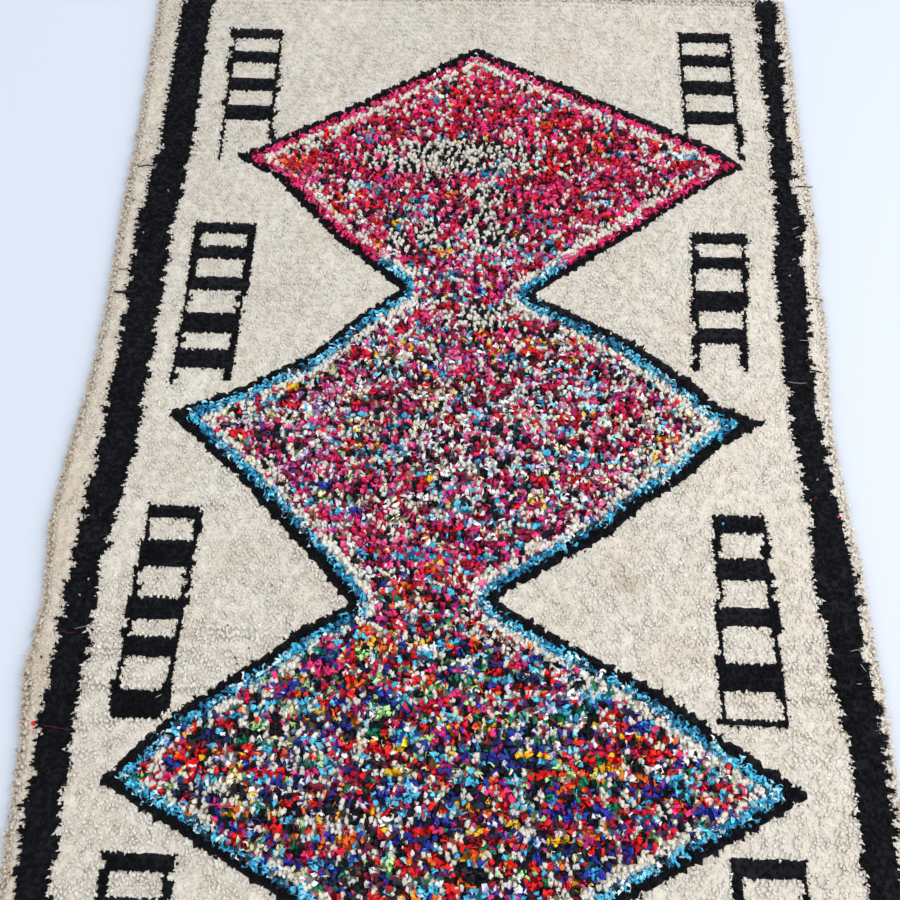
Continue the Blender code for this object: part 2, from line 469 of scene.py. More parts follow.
depth = band_depth(knot_x, seen_y)
clear_ladders = black_ladders & (depth < -LADDER_CLEAR)
zone = np.where(black_stripes | clear_ladders, BLACK, IVORY)
for edge, beyond in zip(BAND_EDGES, (BLACK, BRIGHT, LINE, FILL)):
    zone = np.where(depth > edge, beyond, zone)
print("knots by zone:", np.bincount(zone.ravel()))

# %% [markdown]
# ## Yarns and rags
#
# The wool is undyed ivory and a dyed black that looks nearly flat. The rags are strips of old clothes: most
# are knit or nylon, in strong colours. A weaver picks the strips up in handfuls, so a colour comes in short
# runs along a row, and the mixture changes slowly from one end of the rug to the other: pinks and reds at
# the far end, pink, maroon, turquoise and white in the middle, and blue, red and green at the near end.

# %% Colours of the yarns and rags


def paint(red, green, blue):
    """A colour as the eye gives it, 0 to 255, turned into the light that a shader works with."""
    shares = np.array([red, green, blue]) / 255.0
    return np.where(shares <= 0.04045, shares / 12.92, ((shares + 0.055) / 1.055) ** 2.4)


IVORY_YARN = paint(232, 226, 216)
IVORY_GREY = paint(224, 218, 209)
IVORY_BROWN = paint(213, 194, 173)
BLACK_YARN = paint(20, 20, 26)
RAG_PAINTS = {
    "hot_pink": (236, 48, 112), "rose": (226, 92, 142), "magenta": (176, 34, 110),
    "raspberry": (192, 14, 66), "maroon": (126, 10, 40), "crimson": (208, 10, 38),
    "scarlet": (234, 20, 20), "orange": (240, 104, 26), "gold": (246, 176, 30),
    "cream": (226, 216, 168), "olive": (176, 168, 112), "white": (240, 234, 228),
    "lilac": (196, 184, 214), "violet": (80, 36, 110), "turquoise": (74, 180, 216),
    "sky": (128, 204, 230), "sea": (36, 128, 168), "teal": (20, 84, 120), "ice": (176, 222, 232),
    "royal": (38, 48, 152), "navy": (28, 34, 78), "emerald": (14, 116, 78), "bottle": (18, 62, 46),
    "apple": (172, 222, 140), "sage": (120, 150, 106), "soot": (30, 28, 34), "wine": (96, 16, 24),
    "pale": (176, 172, 168),
}
RAGS = {name: paint(*amounts) for name, amounts in RAG_PAINTS.items()}
MIXES = [
    {"along": 0.62, "hot_pink": 22, "rose": 7, "raspberry": 15, "crimson": 24, "scarlet": 12, "maroon": 13,
     "magenta": 6, "orange": 4, "gold": 1, "white": 3, "sea": 3, "turquoise": 2, "ice": 2, "soot": 4},
    {"along": 0.40, "hot_pink": 18, "rose": 12, "raspberry": 13, "crimson": 15, "scarlet": 5, "maroon": 10,
     "magenta": 12, "orange": 1, "gold": 1, "white": 6, "lilac": 2, "ice": 6, "sea": 6, "turquoise": 4,
     "soot": 4},
    {"along": 0.16, "hot_pink": 9, "rose": 8, "raspberry": 14, "crimson": 11, "maroon": 16, "magenta": 10,
     "scarlet": 3, "gold": 1, "white": 12, "lilac": 5, "ice": 5, "turquoise": 9, "sea": 3, "royal": 1,
     "soot": 7},
    {"along": -0.06, "hot_pink": 6, "rose": 9, "raspberry": 8, "maroon": 13, "magenta": 7, "scarlet": 4,
     "gold": 1, "cream": 9, "olive": 2, "white": 16, "lilac": 8, "turquoise": 8, "sea": 3, "ice": 5,
     "navy": 3, "violet": 1, "soot": 9},
    {"along": -0.20, "hot_pink": 16, "rose": 12, "raspberry": 12, "magenta": 8, "maroon": 9, "scarlet": 8,
     "orange": 2, "gold": 1, "cream": 6, "sage": 1, "white": 12, "turquoise": 12, "royal": 3, "soot": 8},
    {"along": -0.31, "hot_pink": 8, "rose": 5, "raspberry": 6, "magenta": 3, "maroon": 11, "scarlet": 12,
     "crimson": 7, "orange": 3, "gold": 3, "cream": 5, "sage": 2, "emerald": 3, "white": 13, "turquoise": 12,
     "sky": 2, "royal": 4, "navy": 3, "soot": 11},
    {"along": -0.42, "hot_pink": 5, "magenta": 2, "scarlet": 17, "crimson": 9, "maroon": 7, "orange": 5,
     "gold": 1, "cream": 3, "apple": 5, "sage": 4, "emerald": 8, "white": 15, "lilac": 3, "turquoise": 15,
     "sky": 4, "sea": 3, "royal": 12, "navy": 6, "violet": 3, "soot": 6},
    {"along": -0.56, "hot_pink": 5, "magenta": 3, "scarlet": 14, "crimson": 8, "maroon": 7, "orange": 6,
     "gold": 4, "cream": 4, "apple": 4, "emerald": 5, "white": 12, "lilac": 3, "turquoise": 13, "royal": 14,
     "navy": 8, "soot": 10},
]
RUN_LENGTHS = [1, 2, 3, 4]
RUN_ODDS_FAR = [0.74, 0.19, 0.05, 0.02]
RUN_ODDS_NEAR = [0.54, 0.27, 0.12, 0.07]
NEAR_RUNS_OVER = (-0.45, -0.20)
MIX_BLUR = 0.02
GOLD_ROWS = [{"along": 0.138, "from": -0.14, "to": 0.19}, {"along": -0.505, "from": -0.20, "to": 0.24}]
GOLD_REACH = ROW_PITCH * 2.2
GOLD_SHARE = 0.11
print(len(RAGS), "rags in", len(MIXES), "mixes")

# %% Hand out the rags
rag_names = list(RAGS)
rag_colours = np.array([RAGS[name] for name in rag_names])


def odds_at(along):
    """The odds of each rag at a place along the rug, between the two nearest mixes."""
    table = np.array([[mix.get(name, 0) for name in rag_names] for mix in MIXES], float)
    table = table / table.sum(axis=1, keepdims=True)
    places = np.array([mix["along"] for mix in MIXES])
    order = np.argsort(places)
    odds = np.array([np.interp(along, places[order], table[order, k]) for k in range(len(rag_names))])
    return odds / odds.sum()


def rags_by_row():
    """One rag for each knot, in short runs along the row."""
    chosen = np.zeros((ROWS, KNOTS_ACROSS), int)
    for row in range(ROWS):
        along = float(knot_y[row].mean()) + rng.normal(0, MIX_BLUR)
        odds = odds_at(along)
        nearness = np.interp(along, NEAR_RUNS_OVER, (1, 0))
        run_odds = np.array(RUN_ODDS_FAR) * (1 - nearness) + np.array(RUN_ODDS_NEAR) * nearness
        column = 0
        while column < KNOTS_ACROSS:
            run = int(rng.choice(RUN_LENGTHS, p=run_odds))
            chosen[row, column:column + run] = rng.choice(len(rag_names), p=odds)
            column += run
    return chosen


rag_of = rags_by_row()
gold = rag_names.index("gold")
for stretch in GOLD_ROWS:
    near_row = np.abs(knot_y - stretch["along"]) < GOLD_REACH
    reach = (knot_x > stretch["from"]) & (knot_x < stretch["to"])
    rag_of = np.where(near_row & reach & (rng.random(knot_x.shape) < GOLD_SHARE), gold, rag_of)
print("rags handed out")

# %% [markdown]
# ### Wool inside the diamonds
#
# About a third of the knots in the fill are wool, ivory or black. In a few patches the rag gives way almost
# wholly to wool, and the two wools take turns along the row, which looks like salt and pepper.

# %% Wool in the fill
SALT_AND_PEPPER = [
    {"x": -0.022, "y": 0.530, "wide": 0.155, "long": 0.044},
    {"x": 0.043, "y": 0.447, "wide": 0.040, "long": 0.022},
    {"x": -0.060, "y": 0.362, "wide": 0.024, "long": 0.028},
    {"x": 0.034, "y": 0.370, "wide": 0.040, "long": 0.047},
    {"x": -0.106, "y": 0.348, "wide": 0.022, "long": 0.018},
    {"x": 0.032, "y": 0.189, "wide": 0.048, "long": 0.026},
]
FILL_IVORY, FILL_BLACK = 5, 6
# The share of ivory wool beside the thin line and further inside, and the share of black wool.
PALE_BY_LINE = 0.36
PALE_INSIDE = 0.15
PALE_FADE = 0.018
DARK_SHARE = 0.125
PATCH_RAGGED = 0.22
PATCH_EXTRA_IVORY = 0.16
PATCH_WOOL = 0.92
# The share of the thin ivory line that is rag: more at the near left, and where that changes.
LINE_BREAKS = (0.55, 0.22)
BREAKS_OVER = (-0.40, -0.33)


def away_from(patch):
    """How far each knot is from the middle of a patch, squared: 1 is on the patch's rim."""
    return ((knot_x - patch["x"]) / patch["wide"]) ** 2 + ((knot_y - patch["y"]) / patch["long"]) ** 2


def wool_in_fill():
    """Turns part of the fill into ivory and black wool. Near the thin ivory line there is more ivory."""
    draw = rng.random(knot_x.shape)
    pale = np.interp(depth - BAND_EDGES[-1], (0, PALE_FADE), (PALE_BY_LINE, PALE_INSIDE))
    made = np.where(draw < pale, FILL_IVORY, np.where(draw > 1 - DARK_SHARE, FILL_BLACK, FILL))
    turns = (column_of + (row_of // 2)) % 2
    for patch in SALT_AND_PEPPER:
        inside = away_from(patch) + varied(PATCH_RAGGED) < 1
        ivory_here = (turns == 0) | (rng.random(knot_x.shape) < PATCH_EXTRA_IVORY)
        wool = np.where(ivory_here, FILL_IVORY, FILL_BLACK)
        made = np.where(inside & (rng.random(knot_x.shape) < PATCH_WOOL), wool, made)
    return made


zone = np.where(zone == FILL, wool_in_fill(), zone)
breaks = np.where(knot_x < 0, np.interp(knot_y, BREAKS_OVER, LINE_BREAKS), LINE_BREAKS[1])
zone = np.where((zone == LINE) & (rng.random(zone.shape) < breaks), FILL, zone)
print("knots by zone:", np.bincount(zone.ravel()))

# %% [markdown]
# ### One colour for each knot
#
# No two knots are the same colour. Ivory drifts between cream and grey in clouds a hand wide. It is painted
# greyer towards the far end and browner at the left rim as painted shade, and paler at the near left as
# painted light. Two old marks are in the photograph: a brown one with a paler ring, and a grey one.

# %% Knot colours
MARKS = [
    {"x": 0.253, "y": -0.275, "wide": 0.020, "long": 0.014, "tint": (0.70, 0.56, 0.42), "strength": 0.75},
    {"x": 0.482, "y": -0.241, "wide": 0.016, "long": 0.012, "tint": (0.72, 0.70, 0.62), "strength": 0.6},
    {"x": 0.230, "y": -0.250, "wide": 0.030, "long": 0.020, "tint": (0.88, 0.80, 0.70), "strength": 0.5},
]
# In the turquoise band, the soot share is painted shade: near-black knots for the dark gaps between its
# curls.
BLUE_BAND = {"turquoise": 0.32, "sea": 0.20, "teal": 0.14, "sky": 0.14, "ice": 0.10, "white": 0.04,
             "soot": 0.06}
PINK_BAND = {"hot_pink": 0.56, "raspberry": 0.22, "rose": 0.14, "maroon": 0.05, "white": 0.03}
BRIGHT_TURN = 0.305
# How much darker ivory wool in the fill is painted, as painted shade.
SHADED_FILL_WOOL = 0.93
MARK_SOFTNESS = 1.5
# The clouds' waves: how many, how long beside the size asked for, and where they start.
CLOUD_WAVES = 7
CLOUD_SIZES = (0.6, 1.7)
CLOUD_STARTS = (0, 6.28)
CLOUD_SPAN = 3.2
GREY = {"share": 0.40, "drift": 0.20, "cloud": 0.16, "seed": 3}
BROWN = {"share": 0.12, "drift": 0.10, "cloud": 0.11, "seed": 4}
# Places, and the share of a tint there: grey at the far end and brown at the left rim as painted shade, and
# ivory at the near left as painted light.
FAR_END_SHADE = ((0.10, 0.50), (0, 0.45))
NEAR_LEFT_LIGHT = ((-0.40, -0.15), (0.25, 0))
NEAR_LEFT_LIGHT_FADE = ((0, 0.25), (1, 0))
LEFT_RIM_SHADE = ((-0.60, -0.54, 0.56, 0.60), (0.60, 0.0, 0.0, 0.0))
TINT_VARIES = 0.10
IVORY_VARIES = 0.025
RAG_VARIES = 0.08
FADE_VARIES = 0.12
FADE_DRIFT = 0.10
FADE_LIMITS = (0.6, 1.6)
PAINT_LIMITS = (0.002, 0.95)


def clouds(x, y, size, seed):
    """Soft noise, mostly from -1 to 1, made of a few waves in random directions."""
    source = np.random.default_rng(seed)
    total = np.zeros(x.shape)
    for _ in range(CLOUD_WAVES):
        angle = source.uniform(0, 2 * np.pi)
        wave = 2 * np.pi / (size * source.uniform(*CLOUD_SIZES))
        total += np.sin(wave * (x * np.cos(angle) + y * np.sin(angle)) + source.uniform(*CLOUD_STARTS))
    return total / CLOUD_SPAN


def drifting(tint):
    """A tint's share that drifts over the rug in clouds."""
    return tint["share"] + tint["drift"] * clouds(knot_x, knot_y, tint["cloud"], tint["seed"])


def ivory_colours():
    """Ivory drifting to grey and brown, with painted shade greying the far end and browning the left rim,
    painted light at the near left, and every knot a little lighter or darker.
    """
    # Painted shade greys the far end, and painted light takes grey out at the near left.
    grey_tint_and_painted_light = drifting(GREY) + np.interp(knot_y, *FAR_END_SHADE)
    grey_tint_and_painted_light = grey_tint_and_painted_light - np.interp(knot_x, *NEAR_LEFT_LIGHT) * np.interp(knot_y, *NEAR_LEFT_LIGHT_FADE)
    grey_tint_and_painted_light = np.clip(grey_tint_and_painted_light + varied(TINT_VARIES), 0, 1)
    brown_tint_and_shade = np.clip(drifting(BROWN) + varied(TINT_VARIES), 0, 1)
    # Painted shade browns the left rim.
    brown_tint_and_shade = np.clip(brown_tint_and_shade + np.interp(knot_x, *LEFT_RIM_SHADE), 0, 1)
    colour = IVORY_YARN + (IVORY_GREY - IVORY_YARN) * grey_tint_and_painted_light[..., None]
    colour = colour + (IVORY_BROWN - colour) * brown_tint_and_shade[..., None]
    for mark in MARKS:
        share = (mark["strength"] * np.exp(-away_from(mark) * MARK_SOFTNESS))[..., None]
        colour = colour * (1 - share + share * np.array(mark["tint"]))
    return colour * varied(IVORY_VARIES, 1.0)[..., None]


def black_colours():
    """Black that is a little faded here and there."""
    fade = varied(FADE_VARIES, 1.0) + FADE_DRIFT * clouds(knot_x, knot_y, 0.10, 5)
    return BLACK_YARN * np.clip(fade, *FADE_LIMITS)[..., None]


def bright_colours():
    """Turquoise rag round the middle and near diamonds, hot pink round the far one."""
    blues = [rag_names.index(name) for name in BLUE_BAND]
    pinks = [rag_names.index(name) for name in PINK_BAND]
    blue = rng.choice(blues, p=list(BLUE_BAND.values()), size=knot_x.shape)
    pink = rng.choice(pinks, p=list(PINK_BAND.values()), size=knot_x.shape)
    return rag_colours[np.where(knot_y > BRIGHT_TURN, pink, blue)]


knot_colour = ivory_colours()
is_black = (zone == BLACK) | (zone == FILL_BLACK)
knot_colour[is_black] = black_colours()[is_black]
# Painted shade: ivory wool in the fill is darker.
knot_colour[zone == FILL_IVORY] *= SHADED_FILL_WOOL
rag_tones = rag_colours[rag_of] * varied(RAG_VARIES, 1.0)[..., None]
knot_colour[zone == FILL] = rag_tones[zone == FILL]
knot_colour[zone == BRIGHT] = bright_colours()[zone == BRIGHT]
knot_colour = np.clip(knot_colour, *PAINT_LIMITS)
print("knots coloured")

# %% [markdown]
# ## How the pile lies
#
# Packed wool pile stands close together, and each tuft ends in a soft dome. It leans towards the end where
# the weaving began, which is the near end here, and hands and feet brush it to and fro. Along the rim it
# falls outwards and hides the selvedge. Beside the edge of a diamond's band, a tuft settles on its own side
# of the edge.

# %% Lean, bend and height of each tuft
LOCK_LENGTH = 0.0092
RAG_LENGTH = 0.0112
ROOT_HIGH = 0.0090
RAG_ROOT_HIGH = 0.0068
RIM_ROOT_HIGH = 0.0062
# Places along the rug of the rows with an open groove.
GROOVES = [-0.344, -0.357, -0.374, -0.386, -0.435]
SETTLE_REACH = 0.0045
STEEP_LEAST = 0.3
# Knots from the rim, and by what angle a tuft there falls outwards.
SIDE_LEAN = ((0, 1, 2, 3, 5), (1.45, 1.05, 0.65, 0.30, 0))
END_LEAN = ((0, 1, 2, 3), (1.2, 0.8, 0.3, 0))
SIDE_LEAN_HOLDS = 1.6
END_LEAN_HOLDS = 1.2
RIM_KNOTS = 2.0
# How open the gaps between rows are: everywhere in clouds, and in the grooves.
OPEN_SHARE = 0.13
OPEN_DRIFT = 0.28
OPEN_MOST = 0.45
GROOVE_OPEN = 0.75
GROOVE_DRIFT = 0.5
OPEN_ACROSS = ((-0.53, -0.52, -0.22, -0.05), (0, 1, 1, 0.5))
BUNCHED_OVER = (-0.35, 0.10)
# Angles by which tufts sway across the rug, vary and lean along it.
SWAY = 0.28
LEAN_VARIES = 0.12
WOOL_LEAN = -0.55
RAG_LEAN = -0.30
LEAN_DRIFT = 0.14
LENGTH_SWELLS = 0.05
LENGTH_UNEVEN = 0.03
BUNCHED_UNEVEN = 0.05
OPEN_SHORTENS = 0.30


def nearest_edge(inside):
    """How far each place is beyond the nearest edge of a band, and the way across that edge."""
    beyond = inside[..., None] - BAND_EDGES
    nearest = np.take_along_axis(beyond, np.abs(beyond).argmin(axis=-1)[..., None], axis=-1)[..., 0]
    along, across = np.gradient(inside)
    across = across / KNOT_PITCH
    along = along / ROW_PITCH
    steep = np.maximum(np.hypot(across, along), STEEP_LEAST)
    return nearest, across / steep, along / steep


def settle():
    """How far each knot beside a band's edge moves away from it, so that its tuft ends at the edge."""
    nearest, way_x, way_y = nearest_edge(depth)
    away = np.sign(nearest) * np.clip(SETTLE_REACH - np.abs(nearest), 0, None)
    return away * way_x, away * way_y


def knots_from_rim(columns, rows):
    """How many knots away the nearest side and the nearest end are."""
    return np.minimum(columns, columns.max() - columns), np.minimum(rows, rows.max() - rows)


def rim_lean():
    """How much each tuft falls outwards because it is near the rim, across and along."""
    from_side, from_end = knots_from_rim(column_of, row_of)
    side = np.interp(from_side, *SIDE_LEAN)
    end = np.interp(from_end, *END_LEAN)
    return np.where(column_of < KNOTS_ACROSS / 2, -side, side), np.where(row_of < ROWS / 2, -end, end)


def root_heights(columns, rows, inside, at_rim):
    """Heights that fall from one value inside the rug to another at its rim."""
    share = np.clip(np.minimum(*knots_from_rim(columns, rows)) / RIM_KNOTS, 0, 1)
    return at_rim + (inside - at_rim) * np.sin(share * np.pi / 2)


def openness():
    """How open the gap on the near side of each row is, from 0 to 1: a few old creases are, on the left."""
    loose = np.clip(OPEN_SHARE + OPEN_DRIFT * clouds(knot_x, knot_y, 0.10, 13), 0, OPEN_MOST) * bunched
    for along in GROOVES:
        row = round((along + RUG_LENGTH / 2 - END_KNOT_IN) / ROW_PITCH)
        drift = clouds(knot_x[row], knot_y[row], 0.15, 12)
        loose[row] = np.clip(GROOVE_OPEN + GROOVE_DRIFT * drift, 0, 1)
    return loose * np.interp(knot_x, *OPEN_ACROSS)


bunched = np.interp(knot_y, BUNCHED_OVER, (1, 0))
rim_across, rim_along = rim_lean()
in_diamonds = (zone == FILL) | (zone == FILL_IVORY) | (zone == FILL_BLACK) | (zone == BRIGHT)
gap_open = np.where(in_diamonds, 0, openness())
settle_x, settle_y = settle()
lean_across = SWAY * clouds(knot_x, knot_y, 0.035, 8) + varied(LEAN_VARIES)
lean_across = lean_across * (1 - np.abs(rim_across) / SIDE_LEAN_HOLDS) + rim_across
lean_along = np.where(in_diamonds, RAG_LEAN, WOOL_LEAN) + LEAN_DRIFT * clouds(knot_x, knot_y, 0.12, 9)
lean_along = lean_along + varied(LEAN_VARIES)
lean_along = lean_along * (1 - np.abs(rim_along) / END_LEAN_HOLDS) + rim_along
inner_root = np.where(in_diamonds, RAG_ROOT_HIGH, ROOT_HIGH)
root_high = root_heights(column_of, row_of, inner_root, RIM_ROOT_HIGH)
# The same slow swell as the solid's top has.
swell = np.sin(11.0 * knot_x + 2.0 * np.sin(5.0 * knot_y)) * np.cos(9.0 * knot_y + 1.3)
tuft_length = np.where(in_diamonds, RAG_LENGTH, LOCK_LENGTH)
drift = clouds(knot_x, knot_y, 0.05, 10)
tuft_length = tuft_length * (1 + LENGTH_SWELLS * swell + LENGTH_SWELLS * drift)
uneven = LENGTH_UNEVEN + BUNCHED_UNEVEN * bunched
tuft_length = tuft_length * (1 + varied(1) * uneven)
tuft_length = tuft_length * (1 - OPEN_SHORTENS * gap_open)
mean_length = round(float(tuft_length.mean()) * 1000, 1)
print("locks about", mean_length, "mm long, with their roots in the packed pile")

# %% [markdown]
# ## Forms for the tufts
#
# A tuft could be made of hundreds of hairs, but 28,000 tufts of hairs would be far too heavy to share. From
# a person's height a wool tuft is a few soft domes, so it is three hollow forms of a few faces each.
# Together they are as wide as the tuft's place in the row, so that neighbours close up. A rag end is a
# crumpled scrap of cloth, so its form has folds and isn't smoothed.

# %% Lobe forms
CURL_FOOT = 0.62
CURL_ARCH = 0.50


def lobe(sides, rings, tip):
    """A form of rings closed by a tip. Each ring is (height share, radius, turn in parts of a side)."""
    points = []
    for height, radius, turn in rings:
        for k in range(sides):
            angle = 2 * math.pi * (k + turn) / sides
            points.append((radius * math.cos(angle), radius * math.sin(angle), height))
    faces = []
    for level in range(len(rings) - 1):
        for k in range(sides):
            low = level * sides
            after = (k + 1) % sides
            faces.append((low + k, low + after, low + sides + after, low + sides + k))
    points.append((0.0, 0.0, tip))
    top = (len(rings) - 1) * sides
    for k in range(sides):
        faces.append((top + k, top + (k + 1) % sides, len(points) - 1))
    return np.array(points), faces, sides


def curl(sections, width):
    """A strip of cloth that arches up and over, one section after another."""
    points = []
    for k in range(sections):
        swing = math.pi * (k / (sections - 1) - 0.5)
        for edge in (-1, 1):
            points.append((math.sin(swing), edge * width, CURL_FOOT + CURL_ARCH * math.cos(swing)))
    faces = [(2 * k, 2 * k + 1, 2 * k + 3, 2 * k + 2) for k in range(sections - 1)]
    return np.array(points), faces, 2


WOOL_LOCK = lobe(3, [(0.0, 1.25, 0.0), (0.72, 1.15, 0.5)], 1.0)
WOOL_STREAK = lobe(4, [(0.0, 1.0, 0.0), (0.70, 1.05, 0.4)], 1.0)
BLACK_LOCK = lobe(3, [(0.0, 1.20, 0.0)], 1.0)
TOOTH = lobe(3, [(0.0, 1.15, 0.0), (0.50, 0.85, 0.4)], 1.0)
RAG_SCRAP = lobe(5, [(0.0, 0.80, 0.0), (0.74, 1.05, 0.4)], 0.92)
RAG_CURL = curl(5, 0.30)
HAIR = lobe(3, [(0.0, 1.0, 0.0)], 1.0)
print("faces in a wool lock, a streak, a black lock, a scrap and a curl:",
      len(WOOL_LOCK[1]), len(WOOL_STREAK[1]), len(BLACK_LOCK[1]), len(RAG_SCRAP[1]), len(RAG_CURL[1]))

# %% [markdown]
# ### Planting
#
# Copying an object 28,000 times is slow, so the copies are made as numbers: every point of the form is bent
# along its tuft's lean and moved to its knot in one go. Each knot also gets its own square on a sheet of
# texture space, so that a baked picture of the rug's colours has room for every knot.

# %% Bend and place the tufts
TILT_SHARE = 0.5
LEAST_BEND = 1e-3
TIP_INSIDE = 0.92
SQUARE_REACH = 0.44


def bend_points(form_points, x, y, base, height, wide, long, turn, lean_x, lean_y):
    """Stands a form at each knot and bends it over along its lean."""
    form_x = form_points[None, :, 0]
    form_y = form_points[None, :, 1]
    share = form_points[None, :, 2]
    cos_turn = np.cos(turn)[:, None]
    sin_turn = np.sin(turn)[:, None]
    across = (form_x * cos_turn - form_y * sin_turn) * wide[:, None]
    along = (form_x * sin_turn + form_y * cos_turn) * long[:, None]
    bend = np.maximum(np.hypot(lean_x, lean_y), LEAST_BEND)[:, None]
    way_x = lean_x[:, None] / bend
    way_y = lean_y[:, None] / bend
    forward = across * way_x + along * way_y
    sideways = along * way_x - across * way_y
    first = bend * TILT_SHARE
    angle = first + (bend - first) * share
    run = height[:, None] * (np.cos(first) - np.cos(angle)) / (bend - first) + forward * np.cos(angle)
    rise = height[:, None] * (np.sin(angle) - np.sin(first)) / (bend - first) - forward * np.sin(angle)
    placed_x = x[:, None] + run * way_x - sideways * way_y
    placed_y = y[:, None] + run * way_y + sideways * way_x
    return np.stack([placed_x, placed_y, base[:, None] + rise], axis=-1)


def corner_squares(form, count, locks):
    """Texture places of the face corners: a square for each knot, its root outside and its tip inside."""
    points, faces, _ = form
    corners = np.concatenate([np.array(face) for face in faces])
    radius = 1.0 - TIP_INSIDE * np.clip(points[:, 2], 0, 1)
    angle = np.arctan2(points[:, 1], points[:, 0])
    flat = 0.5 + SQUARE_REACH * np.stack([radius * np.cos(angle), radius * np.sin(angle)], axis=-1)
    knot = np.arange(count) // locks
    side = math.ceil(math.sqrt(knot[-1] + 1))
    cell = np.stack([knot % side, knot // side], axis=-1)
    return (cell[:, None, :] + flat[corners][None, :, :]) / side


def dress(mesh, colours, tips, squares, finish):
    """Gives a mesh its finish, a yarn colour at each corner, a tip share at each point and texture places."""
    mesh.materials.append(finish)
    rgba = np.ones((len(mesh.loops), 4))
    rgba[:, :3] = colours.reshape(-1, 3)
    layer = mesh.color_attributes.new("yarn_colour", "FLOAT_COLOR", "CORNER")
    layer.data.foreach_set("color", rgba.ravel())
    tip = mesh.attributes.new("tip", "FLOAT", "POINT")
    tip.data.foreach_set("value", tips.ravel())
    for name, places in squares.items():
        layer = mesh.uv_layers.new(name=name)
        layer.data.foreach_set("uv", places.ravel())


def pile_mesh(name, form, places, colours, smooth, locks, finish):
    """Joins all copies of a form into one mesh with colours, tip shares and texture places."""
    points, faces, _ = form
    count = len(places)
    corners = np.concatenate([np.array(face) for face in faces])
    sizes = np.array([len(face) for face in faces])
    loops = (corners[None, :] + len(points) * np.arange(count)[:, None]).ravel()
    starts = (np.cumsum(sizes) - sizes)[None, :] + len(corners) * np.arange(count)[:, None]
    mesh = bpy.data.meshes.new(name)
    mesh.vertices.add(count * len(points))
    mesh.vertices.foreach_set("co", places.reshape(-1))
    mesh.loops.add(len(loops))
    mesh.loops.foreach_set("vertex_index", loops)
    mesh.polygons.add(count * len(faces))
    mesh.polygons.foreach_set("loop_start", starts.ravel())
    mesh.polygons.foreach_set("loop_total", np.tile(sizes, count))
    mesh.update(calc_edges=True)
    mesh.polygons.foreach_set("use_smooth", np.full(count * len(faces), smooth))
    tips = np.tile(np.clip(points[:, 2], 0, 1), count)
    dress(mesh, colours, tips, {"OFBake": corner_squares(form, count, locks)}, finish)
    return mesh


print("planting helpers ready")

# %% [markdown]
# ## Wool finish
#
# Wool is matt and scatters light. Fine fibres give it a soft edge of light, which is what Sheen is for. The
# root of a tuft gets less light than its tip, so the colour is painted darker and warmer towards the root:
# that is painted shade. The fibres are a fine grain of about a millimetre that raises the surface a little.

# %% Wool material
# The warm tint of the painted shade at a tuft's root.
ROOT_SHADE_WARMTH = (1.0, 0.93, 0.84)
FIBRE_SCALE = 900.0
CLUMP_SCALE = 260.0
FIBRE_SHADE = 0.14
CLUMP_SHADE = 0.06
WOOL_ROUGHNESS = 0.92
SHEEN_SPREAD = 0.45
WOOL_BUMP = 0.6


def wool_finish(name, root_shade, fibre_depth, sheen, softness, shine):
    """Matt wool. Softness turns the light on a tuft towards that of the whole pile."""
    material, shader, start = new_finish(
        name,
        Roughness=WOOL_ROUGHNESS,
        Specular_IOR_Level=shine,
        Sheen_Weight=sheen,
        Sheen_Roughness=SHEEN_SPREAD,
    )
    colour, tip, place = yarn_wires(start)
    fibre = place.noise(FIBRE_SCALE, 3.0)
    clump = place.noise(CLUMP_SCALE, 1.0)
    # Painted shade: the colour turns warmer and darker towards each tuft's root.
    warm_shade = start.node("ShaderNodeVectorMath", {"operation": "MULTIPLY"}, {0: colour, 1: ROOT_SHADE_WARMTH})
    light = tip * tip * tip
    shade = root_shade + light * (1.0 - root_shade)
    shade = shade + (clump - 0.5) * CLUMP_SHADE + (fibre - 0.5) * FIBRE_SHADE
    feed(shader, "Base Color", warm_shade.mixed(colour, light).scaled(shade))
    facing = start.node("ShaderNodeNewGeometry", output="Normal")
    lifted = start.node(
        "ShaderNodeVectorMath",
        {"operation": "ADD"},
        {0: facing.scaled(1.0 - softness), 1: (0.0, 0.0, softness)},
    )
    softer = start.node("ShaderNodeVectorMath", {"operation": "NORMALIZE"}, {0: lifted})
    feed(shader, "Normal", (fibre + clump).bump(WOOL_BUMP, fibre_depth, Normal=softer))
    return material


ivory_wool = wool_finish(
    "ivory_wool", root_shade=0.84, fibre_depth=0.0003, sheen=0.15, softness=0.62, shine=0.25
)
black_wool = wool_finish(
    "black_wool", root_shade=0.60, fibre_depth=0.0009, sheen=0.05, softness=0.0, shine=0.15
)
print("wool finishes made")

# %% [markdown]
# ## Rag finish
#
# Rag strips are smooth knit, nylon and cotton. They shine a little on their folds, so the roughness is
# lower than wool's, and a fine weave breaks the shine up. Their colour is painted darker towards the root and
# in the creases, as painted shade.

# %% Rag material
CREASE_SCALE = 420.0
WEAVE_SCALE = 1800.0
# Painted shade of a rag: its share at the root, what the tip adds, and how much the creases change it.
RAG_ROOT_SHADE = 0.51
RAG_TIP_SHADE = 0.54
CREASE_SHADE = 0.8
RAG_SHINE = 0.25
RAG_ROUGHNESS = 0.38
CREASE_ROUGHNESS = 0.25
WEAVE_SHARE = 0.2
RAG_BUMP = 0.7
CREASE_DEPTH = 0.0008


